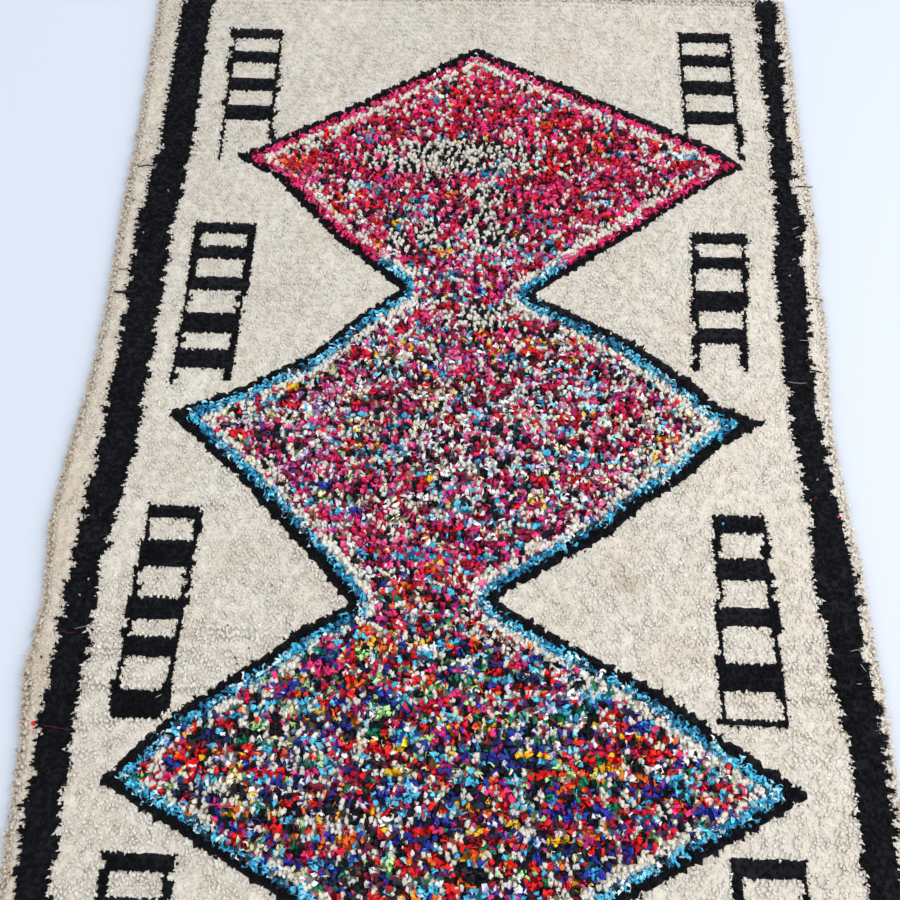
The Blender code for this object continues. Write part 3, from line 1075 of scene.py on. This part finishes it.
def rag_finish(name):
    """Knit, nylon and cotton strips: creased, and a little shiny."""
    material, shader, start = new_finish(name, Specular_IOR_Level=RAG_SHINE)
    colour, tip, place = yarn_wires(start)
    crease = place.noise(CREASE_SCALE, 2.0)
    weave = place.noise(WEAVE_SCALE, 1.0)
    # Painted shade and highlight: darker towards the root, and darker or lighter with the creases.
    shade = RAG_ROOT_SHADE + tip * RAG_TIP_SHADE + (crease - 0.5) * CREASE_SHADE
    feed(shader, "Base Color", colour.scaled(shade))
    feed(shader, "Roughness", RAG_ROUGHNESS + crease * CREASE_ROUGHNESS)
    feed(shader, "Normal", (crease + weave * WEAVE_SHARE).bump(RAG_BUMP, CREASE_DEPTH))
    return material


rag_cloth = rag_finish("rag_cloth")
print("rag finish made")

# %% [markdown]
# ## The foundation
#
# Under the pile lies the woven foundation: warps along the rug, wefts across it and the backs of the knots.
# It is a closed sheet of 4 mm. Its underside shows each knot as a small bead of its own yarn, with rows of
# ivory weft between, as the back of such a rug does. So the underside is a grid with one face for each
# knot.

# %% Foundation mesh
SHEET_HIGH = 0.0042
SELVEDGE_OUT = 0.0035
SELVEDGE_HIGH = SHEET_HIGH * 0.55
# On the underside: where a bead and the groove beside it end, in knots, then shades and heights.
BEAD_EDGE = (0.13, 0.24)
GROOVE_EDGE = (0.02, 0.20)
GROOVE_SHADE = 0.72
BEAD_SHADE = 0.24
BEAD_SLOPE = 0.4
BEAD_BUMP = 0.8
BEAD_HIGH = 0.0012
BACK_SHEEN = 0.15
# The corners of a knot's face, across and along: of a face seen from below, and of one seen from above.
SEEN_BELOW = [(0, 0), (0, 1), (1, 1), (1, 0)]
SEEN_ABOVE = [(0, 0), (1, 0), (1, 1), (0, 1)]


def foundation_grid():
    """Places of the underside's grid lines: half a knot out from each knot."""
    columns = np.arange(KNOTS_ACROSS + 1) - 0.5
    rows = np.arange(ROWS + 1) - 0.5
    columns, rows = np.meshgrid(columns, rows)
    x = -RUG_WIDTH / 2 + SIDE_KNOT_IN + columns * KNOT_PITCH
    y = -RUG_LENGTH / 2 + END_KNOT_IN + rows * ROW_PITCH
    x, y = on_outline(x, y)
    return x, y + beaten(x, y)


def knot_faces(corners):
    """A face for each knot between the grid's points, with its corners in a given order."""
    low = (row_of * (KNOTS_ACROSS + 1) + column_of).ravel()
    steps = [along * (KNOTS_ACROSS + 1) + across for across, along in corners]
    return (low[:, None] + steps).tolist()


def knot_squares(corners):
    """Texture places of the same faces, one unit for each knot."""
    cells = np.stack([column_of.ravel(), row_of.ravel()], axis=-1)
    return (cells[:, None, :] + np.array(corners, float)[None, :, :]).reshape(-1, 2)


def rim_of_grid():
    """Numbers of the grid's rim points, anticlockwise."""
    wide = KNOTS_ACROSS + 1
    near = list(range(0, wide - 1))
    right = [row * wide + wide - 1 for row in range(ROWS)]
    far = [ROWS * wide + column for column in range(wide - 1, 0, -1)]
    left = [row * wide for row in range(ROWS, 0, -1)]
    return near + right + far + left


def make_foundation(material):
    """A closed sheet: a face for each knot below, a rounded selvedge all round, and one face on top."""
    grid_x, grid_y = foundation_grid()
    points = [(x, y, 0.0) for x, y in zip(grid_x.ravel(), grid_y.ravel())]
    faces = knot_faces(SEEN_BELOW)
    rim = rim_of_grid()
    middle_start = len(points)
    for number in rim:
        x, y, _ = points[number]
        out = Vector((x / RUG_WIDTH, y / RUG_LENGTH)).normalized() * SELVEDGE_OUT
        points.append((x + out.x, y + out.y, SELVEDGE_HIGH))
    top_start = len(points)
    for number in rim:
        x, y, _ = points[number]
        points.append((x, y, SHEET_HIGH))
    count = len(rim)
    for k in range(count):
        after = (k + 1) % count
        faces.append((rim[k], rim[after], middle_start + after, middle_start + k))
        faces.append((middle_start + k, middle_start + after, top_start + after, top_start + k))
    faces.append([top_start + k for k in range(count)])
    mesh = bpy.data.meshes.new("foundation")
    mesh.from_pydata(points, [], faces)
    paint_foundation(mesh, material)
    return mesh


def paint_foundation(mesh, material):
    """The colour of every knot on the underside, ivory elsewhere, and each knot's own texture square."""
    knot_corners = ROWS * KNOTS_ACROSS * 4
    colours = np.tile(IVORY_GREY, (len(mesh.loops), 1))
    colours[:knot_corners] = np.repeat(knot_colour.reshape(-1, 3), 4, axis=0)
    square = np.zeros((len(mesh.loops), 2))
    square[:knot_corners] = knot_squares(SEEN_BELOW)
    bake = square / np.array([KNOTS_ACROSS + 2, ROWS + 2])
    dress(mesh, colours, np.zeros(len(mesh.vertices)), {"knot_lines": square, "OFBake": bake}, material)


def foundation_finish():
    """Beads of knot yarn in rows, with ivory weft between the rows."""
    material, shader, start = new_finish(
        "foundation_weave", Roughness=WOOL_ROUGHNESS, Sheen_Weight=BACK_SHEEN
    )
    colour = start.node("ShaderNodeAttribute", {"attribute_name": "yarn_colour"})
    place = start.node("ShaderNodeUVMap", {"uv_map": "knot_lines"})
    split = start.node("ShaderNodeSeparateXYZ", values={"Vector": place})
    across = split.maths("PINGPONG", split, 0.5)
    along_row = Wire(split.tree, split.socket.node.outputs["Y"])
    along = along_row.maths("PINGPONG", along_row, 0.5)
    bead = along.stepped(*BEAD_EDGE)
    groove = across.stepped(*GROOVE_EDGE)
    woven = colour.mixed((*IVORY_BROWN, 1.0), 1.0 - bead)
    # Painted shade: the colour is darker in the grooves between the beads.
    feed(shader, "Base Color", woven.scaled(GROOVE_SHADE + groove * BEAD_SHADE))
    feed(shader, "Normal", (bead * groove + along * BEAD_SLOPE).bump(BEAD_BUMP, BEAD_HIGH))
    return material


def add_piece(mesh):
    """Links a piece of the rug, which rides with the rug's one body and stands for its solid."""
    piece = put(mesh.name, mesh)
    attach(piece, "root")
    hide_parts("rug")
    return piece


foundation = add_piece(make_foundation(foundation_finish()))
print("foundation has", len(foundation.data.polygons), "faces")

# %% [markdown]
# ## The imported pile
#
# Between the knots' roots and their loose tips, the yarns of neighbouring knots press together into one
# soft body. It fills the gaps between the locks to about 15 mm in the ivory ground, and to a little less in
# black and in rag, so a gap is a shallow, lit dip and not a deep dark hole. It is one lumpy sheet with one
# face in the colour of each knot, painted a little darker in the wool and much darker in the diamonds' fill
# and bright band as painted shade between the tufts, and it falls to the foundation at the rim.

# %% Packed pile mesh
PACKED_HIGH = 0.0147
PACKED_BLACK_HIGH = 0.0125
PACKED_RAG_HIGH = 0.0098
GROOVE_DEPTH = 0.0050
# Painted shade between the tufts: how dark the packed pile is painted outside and inside the diamonds, and
# its tip share, by which the wool finish darkens it further.
PACKED_SHADE = 0.96
RAG_SHADE = 0.32
PACKED_TIP = 0.72
PACKED_LUMPS = 0.0006
PACKED_ROUGH = 0.0004
PACKED_STRAY = 0.0009
SNAP_REACH = 0.0058


def snapped(x, y):
    """Moves grid points that are close to a band's edge onto it, so that the colours meet in a clean line."""
    inside = band_depth(x, y - OVERHANG)
    nearest, way_x, way_y = nearest_edge(inside)
    close = (np.abs(nearest) < SNAP_REACH) & (inside < BAND_EDGES[-1] - IVORY_BAND / 2)
    move = np.where(close, -nearest, 0)
    return x + move * way_x, y + move * way_y


def make_packed_pile(material):
    """One lumpy sheet with a face in the colour of each knot, darkened as painted shade, sunk where a gap
    between rows is open.
    """
    columns, rows = np.meshgrid(np.arange(KNOTS_ACROSS + 1), np.arange(ROWS + 1))
    grid_x, grid_y = foundation_grid()
    dark_or_rag = np.where(in_diamonds, PACKED_RAG_HIGH, PACKED_BLACK_HIGH)
    inside = np.where(zone == IVORY, PACKED_HIGH, dark_or_rag) - GROOVE_DEPTH * gap_open
    high = root_heights(columns, rows, np.pad(inside, ((0, 1), (0, 1)), mode="edge"), SHEET_HIGH)
    inner = np.clip(np.minimum(*knots_from_rim(columns, rows)), 0, 1)
    lumps = PACKED_LUMPS * clouds(grid_x, grid_y, 0.03, 21) + rng.normal(0, PACKED_ROUGH, grid_x.shape)
    high = high + inner * lumps
    grid_x, grid_y = snapped(grid_x, grid_y)
    grid_x = grid_x + inner * rng.normal(0, PACKED_STRAY, grid_x.shape)
    grid_y = grid_y + inner * rng.normal(0, PACKED_STRAY, grid_x.shape)
    faces = knot_faces(SEEN_ABOVE)
    mesh = bpy.data.meshes.new("packed_pile")
    mesh.from_pydata(np.stack([grid_x, grid_y, high], axis=-1).reshape(-1, 3).tolist(), [], faces)
    mesh.polygons.foreach_set("use_smooth", np.full(len(faces), True))
    # Painted shade: the packed pile is darker than its knots.
    shade = np.where(in_diamonds, RAG_SHADE, PACKED_SHADE)
    colours = np.repeat((knot_colour * shade[..., None]).reshape(-1, 3), 4, axis=0)
    square = knot_squares(SEEN_ABOVE) / np.array([KNOTS_ACROSS, ROWS])
    dress(mesh, colours, np.full(len(mesh.vertices), PACKED_TIP), {"OFBake": square}, material)
    return mesh


packed_pile = add_piece(make_packed_pile(ivory_wool))
print("packed pile has", len(packed_pile.data.polygons), "faces, about", PACKED_HIGH * 1000, "mm high")

# %% [markdown]
# ## Planting the pile
#
# The pile is planted yarn by yarn: ivory ground, black shapes, the thin ivory line, bright band and mixed
# fill. A group that would grow too heavy is split at the rug's middle line.

# %% Plant one group of knots
# Locks stray more along the rug than across it, and some take the colour of a knot near by.
STRAY_ALONG = 1.6
LENGTH_VARIES = 0.08
ROOT_ROUGHNESS = 0.25
FLOOR_CLEAR = 0.0006
MIXING_REACH = 3


def plant(name, chosen, build):
    """Plants locks of one build on all chosen knots and adds them to the rug as one piece."""
    form = build["form"]
    locks = build["locks"]
    knot = np.repeat(np.arange(chosen.sum()), locks)
    count = len(knot)

    def each(values):
        """Values of the chosen knots, once for each lock."""
        return np.broadcast_to(values, zone.shape)[chosen][knot]

    beside = (np.arange(count) % locks + 0.5) / locks - 0.5
    slant = np.repeat(rng.choice([-1.0, 1.0], chosen.sum()), locks) * build["stagger"]
    bunch = 1 - build["bunching"] * each(bunched)
    x = each(knot_x + settle_x) + beside * KNOT_PITCH * bunch + rng.normal(0, build["stray"], count)
    y = each(knot_y + settle_y) + beside * slant + rng.normal(0, build["stray"] * STRAY_ALONG, count)
    places = bend_points(
        form[0],
        x,
        y,
        each(root_high) + build["lift"],
        each(tuft_length) * each(build["tall"]) * rng.normal(1.0, LENGTH_VARIES, count),
        build["wide"] * rng.normal(1.0, build["uneven"], count),
        build["long"] * rng.normal(1.0, build["uneven"], count),
        rng.uniform(0, 2 * np.pi, count),
        each(lean_across) + rng.normal(0, build["tousled"], count),
        each(lean_along) + rng.normal(0, build["tousled"], count),
    )
    above = np.clip(form[0][:, 2], ROOT_ROUGHNESS, 1)[None, :, None]
    places = places + rng.normal(0, build["rough"], places.shape) * above
    places[:, :, 2] = np.maximum(places[:, :, 2], FLOOR_CLEAR)
    sizes = [len(face) for face in form[1]]
    streak = rng.normal(1.0, build["patchy"], (count, form[2]))[:, np.arange(len(sizes)) % form[2]]
    streak = streak * rng.normal(1.0, build["varied"], count)[:, None]
    tone = np.repeat(streak, sizes, axis=1)
    swapped = rng.random(count) < build["mixing"]
    step = rng.integers(-MIXING_REACH, MIXING_REACH + 1, count)
    source = np.clip(knot + swapped * step, 0, knot[-1])
    # A build's painted highlight makes its colours lighter.
    colours = knot_colour[chosen][source][:, None, :] * tone[:, :, None] * build["painted_highlight"]
    colours = np.clip(colours, *PAINT_LIMITS)
    mesh = pile_mesh(name, form, places, colours, build["smooth"], locks, build["finish"])
    print(name, chosen.sum(), "knots,", sum(size - 2 for size in sizes) * count, "triangles")
    return add_piece(mesh)


# Each build: its form and how many to a knot, sizes in metres, angles, and shares.
WOOL_BUILD = {"form": WOOL_LOCK, "locks": 3, "wide": 0.0026, "long": 0.0037, "stray": 0.0008, "uneven": 0.11,
              "tousled": 0.13, "rough": 0.0002, "patchy": 0.02, "varied": 0.06, "lift": 0.0, "tall": 1.0,
              "mixing": 0.0, "stagger": 0.0070, "bunching": 0.22, "painted_highlight": 1.0, "smooth": True,
              "finish": ivory_wool, "slot": "ivory_wool"}
STREAK_BUILD = {**WOOL_BUILD, "form": WOOL_STREAK, "locks": 2, "wide": 0.0036, "long": 0.0046, "uneven": 0.18,
                "tousled": 0.38, "rough": 0.0008, "patchy": 0.06, "stagger": 0.0090, "bunching": 0.2}
BLACK_BUILD = {**WOOL_BUILD, "form": BLACK_LOCK, "locks": 4, "wide": 0.0038, "long": 0.0046, "stray": 0.0014,
               "uneven": 0.20, "tousled": 0.30, "patchy": 0.20, "rough": 0.0006, "stagger": 0.0080,
               "bunching": 0.0, "finish": black_wool, "slot": "black_wool"}
RAG_BUILD = {"form": RAG_SCRAP, "locks": 2, "wide": 0.0037, "long": 0.0039, "stray": 0.0014, "uneven": 0.28,
             "tousled": 0.50, "rough": 0.0018, "patchy": 0.32, "varied": 0.06, "lift": 0.0, "tall": 1.0,
             "mixing": 0.50, "painted_highlight": 1.0, "stagger": 0.0070, "bunching": 0.0, "smooth": False,
             "finish": rag_cloth, "slot": "rag_mix"}
CURL_BUILD = {**RAG_BUILD, "form": RAG_CURL, "locks": 1, "wide": 0.0044, "long": 0.0044, "stray": 0.0022,
              "uneven": 0.26, "tousled": 0.60, "rough": 0.0009, "patchy": 0.24, "lift": 0.0006,
              "mixing": 0.60, "stagger": 0.0}
# Black wool in the fill is painted a little lighter, as painted highlight.
BLACK_STREAK_BUILD = {**STREAK_BUILD, "patchy": 0.25, "painted_highlight": 1.3, "finish": black_wool, "slot": "black_wool"}
HAIR_BUILD = {**WOOL_BUILD, "form": HAIR, "locks": 8, "wide": 0.0005, "long": 0.0005, "stray": 0.0030,
              "uneven": 0.25, "tousled": 0.40, "rough": 0.0006, "lift": 0.0010, "tall": 1.25,
              "stagger": 0.0, "bunching": 0.0}
# The black hairs are painted five times lighter than the black wool: painted highlight on its fibres.
BLACK_HAIR_BUILD = {**HAIR_BUILD, "locks": 2, "tousled": 0.65, "lift": 0.0010, "tall": 1.15, "painted_highlight": 5.0,
                    "finish": black_wool, "slot": "black_wool"}
MARGIN_LEFT = -0.53
MARGIN_RIGHT = 0.55
CURLY_SHARE = 0.80
HAIRY_COLUMNS = 2
rim_knots = ((knot_x < MARGIN_LEFT) | (knot_x > MARGIN_RIGHT)) & (zone == IVORY)
ground = (zone == IVORY) & ~rim_knots
left = knot_x < 0
stripes = black_stripes & (zone == BLACK)
fill = zone == FILL
curly = fill & (rng.random(zone.shape) < CURLY_SHARE)
hairy = (column_of < HAIRY_COLUMNS) | (column_of >= KNOTS_ACROSS - HAIRY_COLUMNS)
pile = [
    packed_pile,
    plant("ivory_margins", rim_knots, WOOL_BUILD),
    plant("ivory_ground_left", ground & left, WOOL_BUILD),
    plant("ivory_ground_right", ground & ~left, WOOL_BUILD),
    plant("ivory_lines", zone == LINE, {**STREAK_BUILD, "locks": 3}),
    plant("ivory_in_fill", zone == FILL_IVORY, STREAK_BUILD),
    plant("black_stripes", stripes, BLACK_BUILD),
    plant("black_shapes", (zone == BLACK) & ~stripes, BLACK_BUILD),
    plant("black_in_fill", zone == FILL_BLACK, BLACK_STREAK_BUILD),
    plant("bright_scraps", zone == BRIGHT, {**RAG_BUILD, "locks": 1}),
    plant("bright_curls", zone == BRIGHT, {**CURL_BUILD, "locks": 5}),
    plant("rag_fill_left", fill & left, RAG_BUILD),
    plant("rag_fill_right", fill & ~left, RAG_BUILD),
    plant("rag_curls", curly, CURL_BUILD),
    plant("rim_hairs", hairy, HAIR_BUILD),
    plant("black_hairs", zone == BLACK, BLACK_HAIR_BUILD),
]

# %% [markdown]
# ### Teeth where black meets ivory
#
# In each row the last tuft of one colour falls over its neighbour of the other colour, and the neighbour
# falls back over it a little nearer. So an edge along the rug becomes a saw of pointed teeth, with a tooth
# of each colour in nearly every row.

# %% Teeth on the black shapes
TOOTH_LEAN = (0.65, 1.25)
# How long a tooth is beside a tuft: at the diamonds' outline, at a ladder, and at a stripe.
OUTLINE_TOOTH = 0.58
LADDER_TOOTH = 0.78
STRIPE_TOOTH = 1.05
TOOTH_HALF = 0.0028
TOOTH_LIFT = 0.0034
# How far a tooth moves along the rug, in rows.
DARK_NUDGE = 0.25
PALE_NUDGE = -0.15
OUTLINE_TEETH = 0.8
BESIDE_OUTLINE = 0.014
LADDERS_REACH = 0.49
beside_outline = np.abs(depth) < BESIDE_OUTLINE
beside_ladder = np.abs(knot_x) < LADDERS_REACH


def tooth_knots(towards, dark):
    """Which knots have a neighbour of the other colour: on the right for 1, on the left for -1."""
    beside = np.roll(zone == BLACK, -towards, axis=1)
    own = zone == BLACK if dark else zone == IVORY
    own = own & (~beside_outline | (np.random.default_rng(17).random(zone.shape) < OUTLINE_TEETH))
    rim = 0 if dark else 2
    return own & (beside != dark) & (column_of > rim) & (column_of < KNOTS_ACROSS - 1 - rim)


def plant_teeth(name, dark, base):
    """Plants one leaning pointed lock on each knot at a border, for both sides, as one piece."""
    to_right = tooth_knots(1, dark)
    to_left = tooth_knots(-1, dark)
    lean_before = lean_across.copy()
    lean = rng.uniform(*TOOTH_LEAN, zone.shape)
    lean_across[:] = np.where(to_right, lean, -lean)
    nudge = ROW_PITCH * (DARK_NUDGE if dark else PALE_NUDGE)
    settle_y[:] += nudge
    build = {**base, "form": TOOTH, "locks": 2 if dark else 1}
    build.update({"wide": TOOTH_HALF, "long": TOOTH_HALF, "lift": TOOTH_LIFT})
    elsewhere = np.where(beside_ladder, LADDER_TOOTH, STRIPE_TOOTH)
    build["tall"] = np.where(beside_outline, OUTLINE_TOOTH, elsewhere)
    piece = plant(name, to_right | to_left, build)
    settle_y[:] -= nudge
    lean_across[:] = lean_before
    return piece


pile.append(plant_teeth("black_teeth", True, BLACK_BUILD))
pile.append(plant_teeth("ivory_teeth", False, WOOL_BUILD))

# %% [markdown]
# ## Carried yarns, stray threads and specks
#
# At a few rows the weaver carried the black yarn out over the edge and cut it there. Threads of the rags
# got caught in the wool, and bits of fluff were knotted in with it. All of them lie loose on the pile. Each
# yarn is a thin tube through a few places, and each speck a small crumpled scrap.

# %% Yarns on the pile
# Each yarn: its colour, half its thickness, and the places that it runs through.
BLACK_YARNS = [
    ("soot", 0.0013, [(0.577, 0.471), (0.598, 0.475), (0.612, 0.477)]),
    ("soot", 0.0008, [(0.569, 0.237), (0.586, 0.239), (0.602, 0.237)]),
    ("soot", 0.0012, [(-0.576, 0.502), (-0.569, 0.495), (-0.556, 0.497), (-0.539, 0.494)]),
    ("soot", 0.0024, [(-0.562, 0.366), (-0.545, 0.367)]),
    ("soot", 0.0008, [(-0.577, 0.276), (-0.566, 0.274), (-0.558, 0.277)]),
    ("soot", 0.0024, [(-0.577, 0.230), (-0.563, 0.228), (-0.542, 0.230)]),
    ("soot", 0.0014, [(0.560, 0.098), (0.582, 0.096)]),
]
THREADS = [
    ("wine", 0.0004, [(-0.573, -0.498), (-0.551, -0.502), (-0.525, -0.505)]),
    ("wine", 0.0004, [(-0.566, -0.362), (-0.556, -0.364), (-0.546, -0.363)]),
    ("pale", 0.0003, [(-0.549, -0.358), (-0.531, -0.353), (-0.521, -0.345)]),
    ("pale", 0.0003, [(0.522, 0.076), (0.540, 0.073), (0.554, 0.074)]),
    ("pale", 0.0004, [(0.565, -0.371), (0.575, -0.368), (0.585, -0.372)]),
    ("pale", 0.0004, [(0.577, -0.389), (0.584, -0.400)]),
    ("pale", 0.0005, [(0.568, -0.418), (0.575, -0.418)]),
    ("pale", 0.0006, [(0.563, 0.378), (0.575, 0.384)]),
    ("pale", 0.0005, [(0.567, 0.361), (0.573, 0.363)]),
    ("pale", 0.0005, [(0.556, 0.314), (0.562, 0.317)]),
    ("pale", 0.0006, [(0.222, 0.306), (0.232, 0.316)]),
    ("lilac", 0.0003, [(0.551, 0.154), (0.566, 0.154)]),
    ("pale", 0.0006, [(-0.562, -0.181), (-0.554, -0.178)]),
    ("pale", 0.0005, [(-0.419, -0.457), (-0.411, -0.452)]),
    ("lilac", 0.0003, [(-0.466, -0.417), (-0.463, -0.410), (-0.459, -0.403)]),
    ("cream", 0.0004, [(-0.004, 0.425), (0.004, 0.436), (0.013, 0.450)]),
    ("sea", 0.0004, [(0.002, 0.424), (0.010, 0.438)]),
]
# Each speck: where it lies, its size and its colour.
SPECKS = [
    (-0.279, 0.252, 0.0031, "rose"), (-0.421, 0.496, 0.0031, "turquoise"), (0.441, 0.284, 0.0039, "sea"),
    (0.498, 0.286, 0.0023, "rose"), (0.400, -0.174, 0.0039, "turquoise"), (0.494, 0.088, 0.0031, "ice"),
    (0.559, 0.117, 0.0031, "magenta"), (0.575, -0.158, 0.0047, "hot_pink"), (0.543, -0.128, 0.0039, "wine"),
    (-0.577, -0.285, 0.0047, "wine"), (-0.574, -0.325, 0.0031, "wine"), (-0.585, -0.495, 0.0070, "scarlet"),
    (-0.322, -0.249, 0.0023, "wine"), (-0.270, -0.285, 0.0023, "bottle"), (-0.294, -0.382, 0.0023, "wine"),
    (-0.294, -0.368, 0.0023, "sea"), (-0.313, -0.397, 0.0023, "wine"), (-0.309, -0.405, 0.0039, "wine"),
    (-0.383, -0.402, 0.0023, "turquoise"), (0.347, 0.311, 0.0023, "rose"), (-0.543, -0.145, 0.0031, "wine"),
    (-0.539, -0.178, 0.0031, "wine"), (-0.329, -0.348, 0.0023, "soot"), (-0.591, -0.401, 0.0031, "soot"),
    (-0.579, -0.398, 0.0031, "soot"), (-0.572, 0.422, 0.0039, "soot"), (0.513, -0.357, 0.0031, "soot"),
    (-0.541, -0.281, 0.0023, "pale"), (-0.550, -0.306, 0.0023, "pale"), (-0.566, -0.369, 0.0031, "pale"),
    (0.548, 0.283, 0.0023, "pale"), (-0.513, 0.443, 0.0031, "pale"), (-0.545, 0.352, 0.0023, "pale"),
    (0.551, -0.096, 0.0031, "pale"), (0.537, -0.130, 0.0023, "pale"), (0.262, 0.272, 0.0023, "olive"),
    (0.305, 0.298, 0.0023, "olive"), (0.345, 0.287, 0.0023, "olive"), (0.351, 0.235, 0.0023, "olive"),
]
# A yarn's corners and steps, how high it lies on the pile, and how it thins at its ends.
YARN_CORNERS = 5
YARN_STEPS = 6
YARN_LIFT = 0.0012
YARN_WOBBLE = 0.0003
YARN_END = 0.35
YARN_TAPER = 5
# Distances in from a long side, and how high the pile is there.
PILE_PROFILE = ((0.0, 0.010, 0.022, 0.032), (0.0105, 0.0140, 0.0168, 0.0180))


def pile_top(x, y):
    """About how high the pile is at a place: less near the long sides."""
    left_in, right_in = sides_in(y)
    inside = np.minimum(x + RUG_WIDTH / 2 - left_in, RUG_WIDTH / 2 - right_in - x)
    return np.interp(inside, *PILE_PROFILE)


def soft_path(path, steps):
    """A soft curve through a few places."""
    places = np.array([path[0], *path, path[-1]])
    points = []
    for last, here, there, after in zip(places, places[1:], places[2:], places[3:]):
        for share in np.linspace(0, 1, steps, endpoint=False):
            bow = (2 * last - 5 * here + 4 * there - after) * share ** 2
            bow = bow + (3 * here - last - 3 * there + after) * share ** 3
            points.append(here + ((there - last) * share + bow) / 2)
    return np.array([*points, places[-1]])


def yarns_mesh(name, yarns, finish):
    """Thin tubes along soft paths on top of the pile, joined into one mesh."""
    points = []
    faces = []
    colours = []
    for colour, half, places in yarns:
        path = soft_path(places, YARN_STEPS)
        ways = np.gradient(path, axis=0)
        ways = ways / np.maximum(np.linalg.norm(ways, axis=1), 1e-9)[:, None]
        count = len(path)
        start = len(points)
        for k in range(count):
            share = k / (count - 1)
            full = min(1.0, YARN_TAPER * share, YARN_TAPER * (1 - share))
            thick = half * (YARN_END + (1 - YARN_END) * full)
            x, y = path[k]
            z = float(pile_top(x, y)) + YARN_LIFT + rng.normal(0, YARN_WOBBLE)
            for corner in range(YARN_CORNERS):
                turn = 2 * math.pi * corner / YARN_CORNERS
                side = thick * math.cos(turn)
                points.append((x - ways[k][1] * side, y + ways[k][0] * side, z + thick * math.sin(turn)))
        for k in range(count - 1):
            for corner in range(YARN_CORNERS):
                low = start + k * YARN_CORNERS + corner
                after = start + k * YARN_CORNERS + (corner + 1) % YARN_CORNERS
                faces.append((low, after, after + YARN_CORNERS, low + YARN_CORNERS))
        faces.append([start + corner for corner in reversed(range(YARN_CORNERS))])
        faces.append([start + (count - 1) * YARN_CORNERS + corner for corner in range(YARN_CORNERS)])
        colours += [RAGS[colour]] * ((count - 1) * YARN_CORNERS + 2)
    mesh = bpy.data.meshes.new(name)
    mesh.from_pydata(points, [], faces)
    mesh.polygons.foreach_set("use_smooth", np.full(len(faces), True))
    corner_colours = np.repeat(np.array(colours), [len(face) for face in faces], axis=0)
    dress(mesh, corner_colours, np.ones(len(points)), {}, finish)
    return mesh


carried_yarns = add_piece(yarns_mesh("carried_yarns", BLACK_YARNS, black_wool))
stray_threads = add_piece(yarns_mesh("stray_threads", THREADS, rag_cloth))
pile += [carried_yarns, stray_threads]
print(len(BLACK_YARNS), "carried yarns,", len(THREADS), "threads")

# %% Specks in the wool
SPECK_SUNK = 0.004
SPECK_HIGH = 0.0055
SPECK_LEAN = 0.25
SPECK_ROUGH = 0.0004


def specks_mesh(name, specks, finish):
    """Small crumpled scraps sitting in the top of the pile."""
    count = len(specks)
    x, y, size = np.transpose([speck[:3] for speck in specks])
    lean = rng.normal(0, SPECK_LEAN, (2, count))
    turn = rng.uniform(0, 2 * np.pi, count)
    low = pile_top(x, y) - SPECK_SUNK
    tall = np.full(count, SPECK_HIGH)
    places = bend_points(RAG_SCRAP[0], x, y, low, tall, size / 2, size / 2, turn, *lean)
    places = places + rng.normal(0, SPECK_ROUGH, places.shape)
    corners = sum(len(face) for face in RAG_SCRAP[1])
    colours = np.repeat(np.array([RAGS[speck[3]] for speck in specks]), corners, axis=0)
    return pile_mesh(name, RAG_SCRAP, places, colours, False, 1, finish)


pile.append(add_piece(specks_mesh("specks", SPECKS, rag_cloth)))
print(len(SPECKS), "specks")
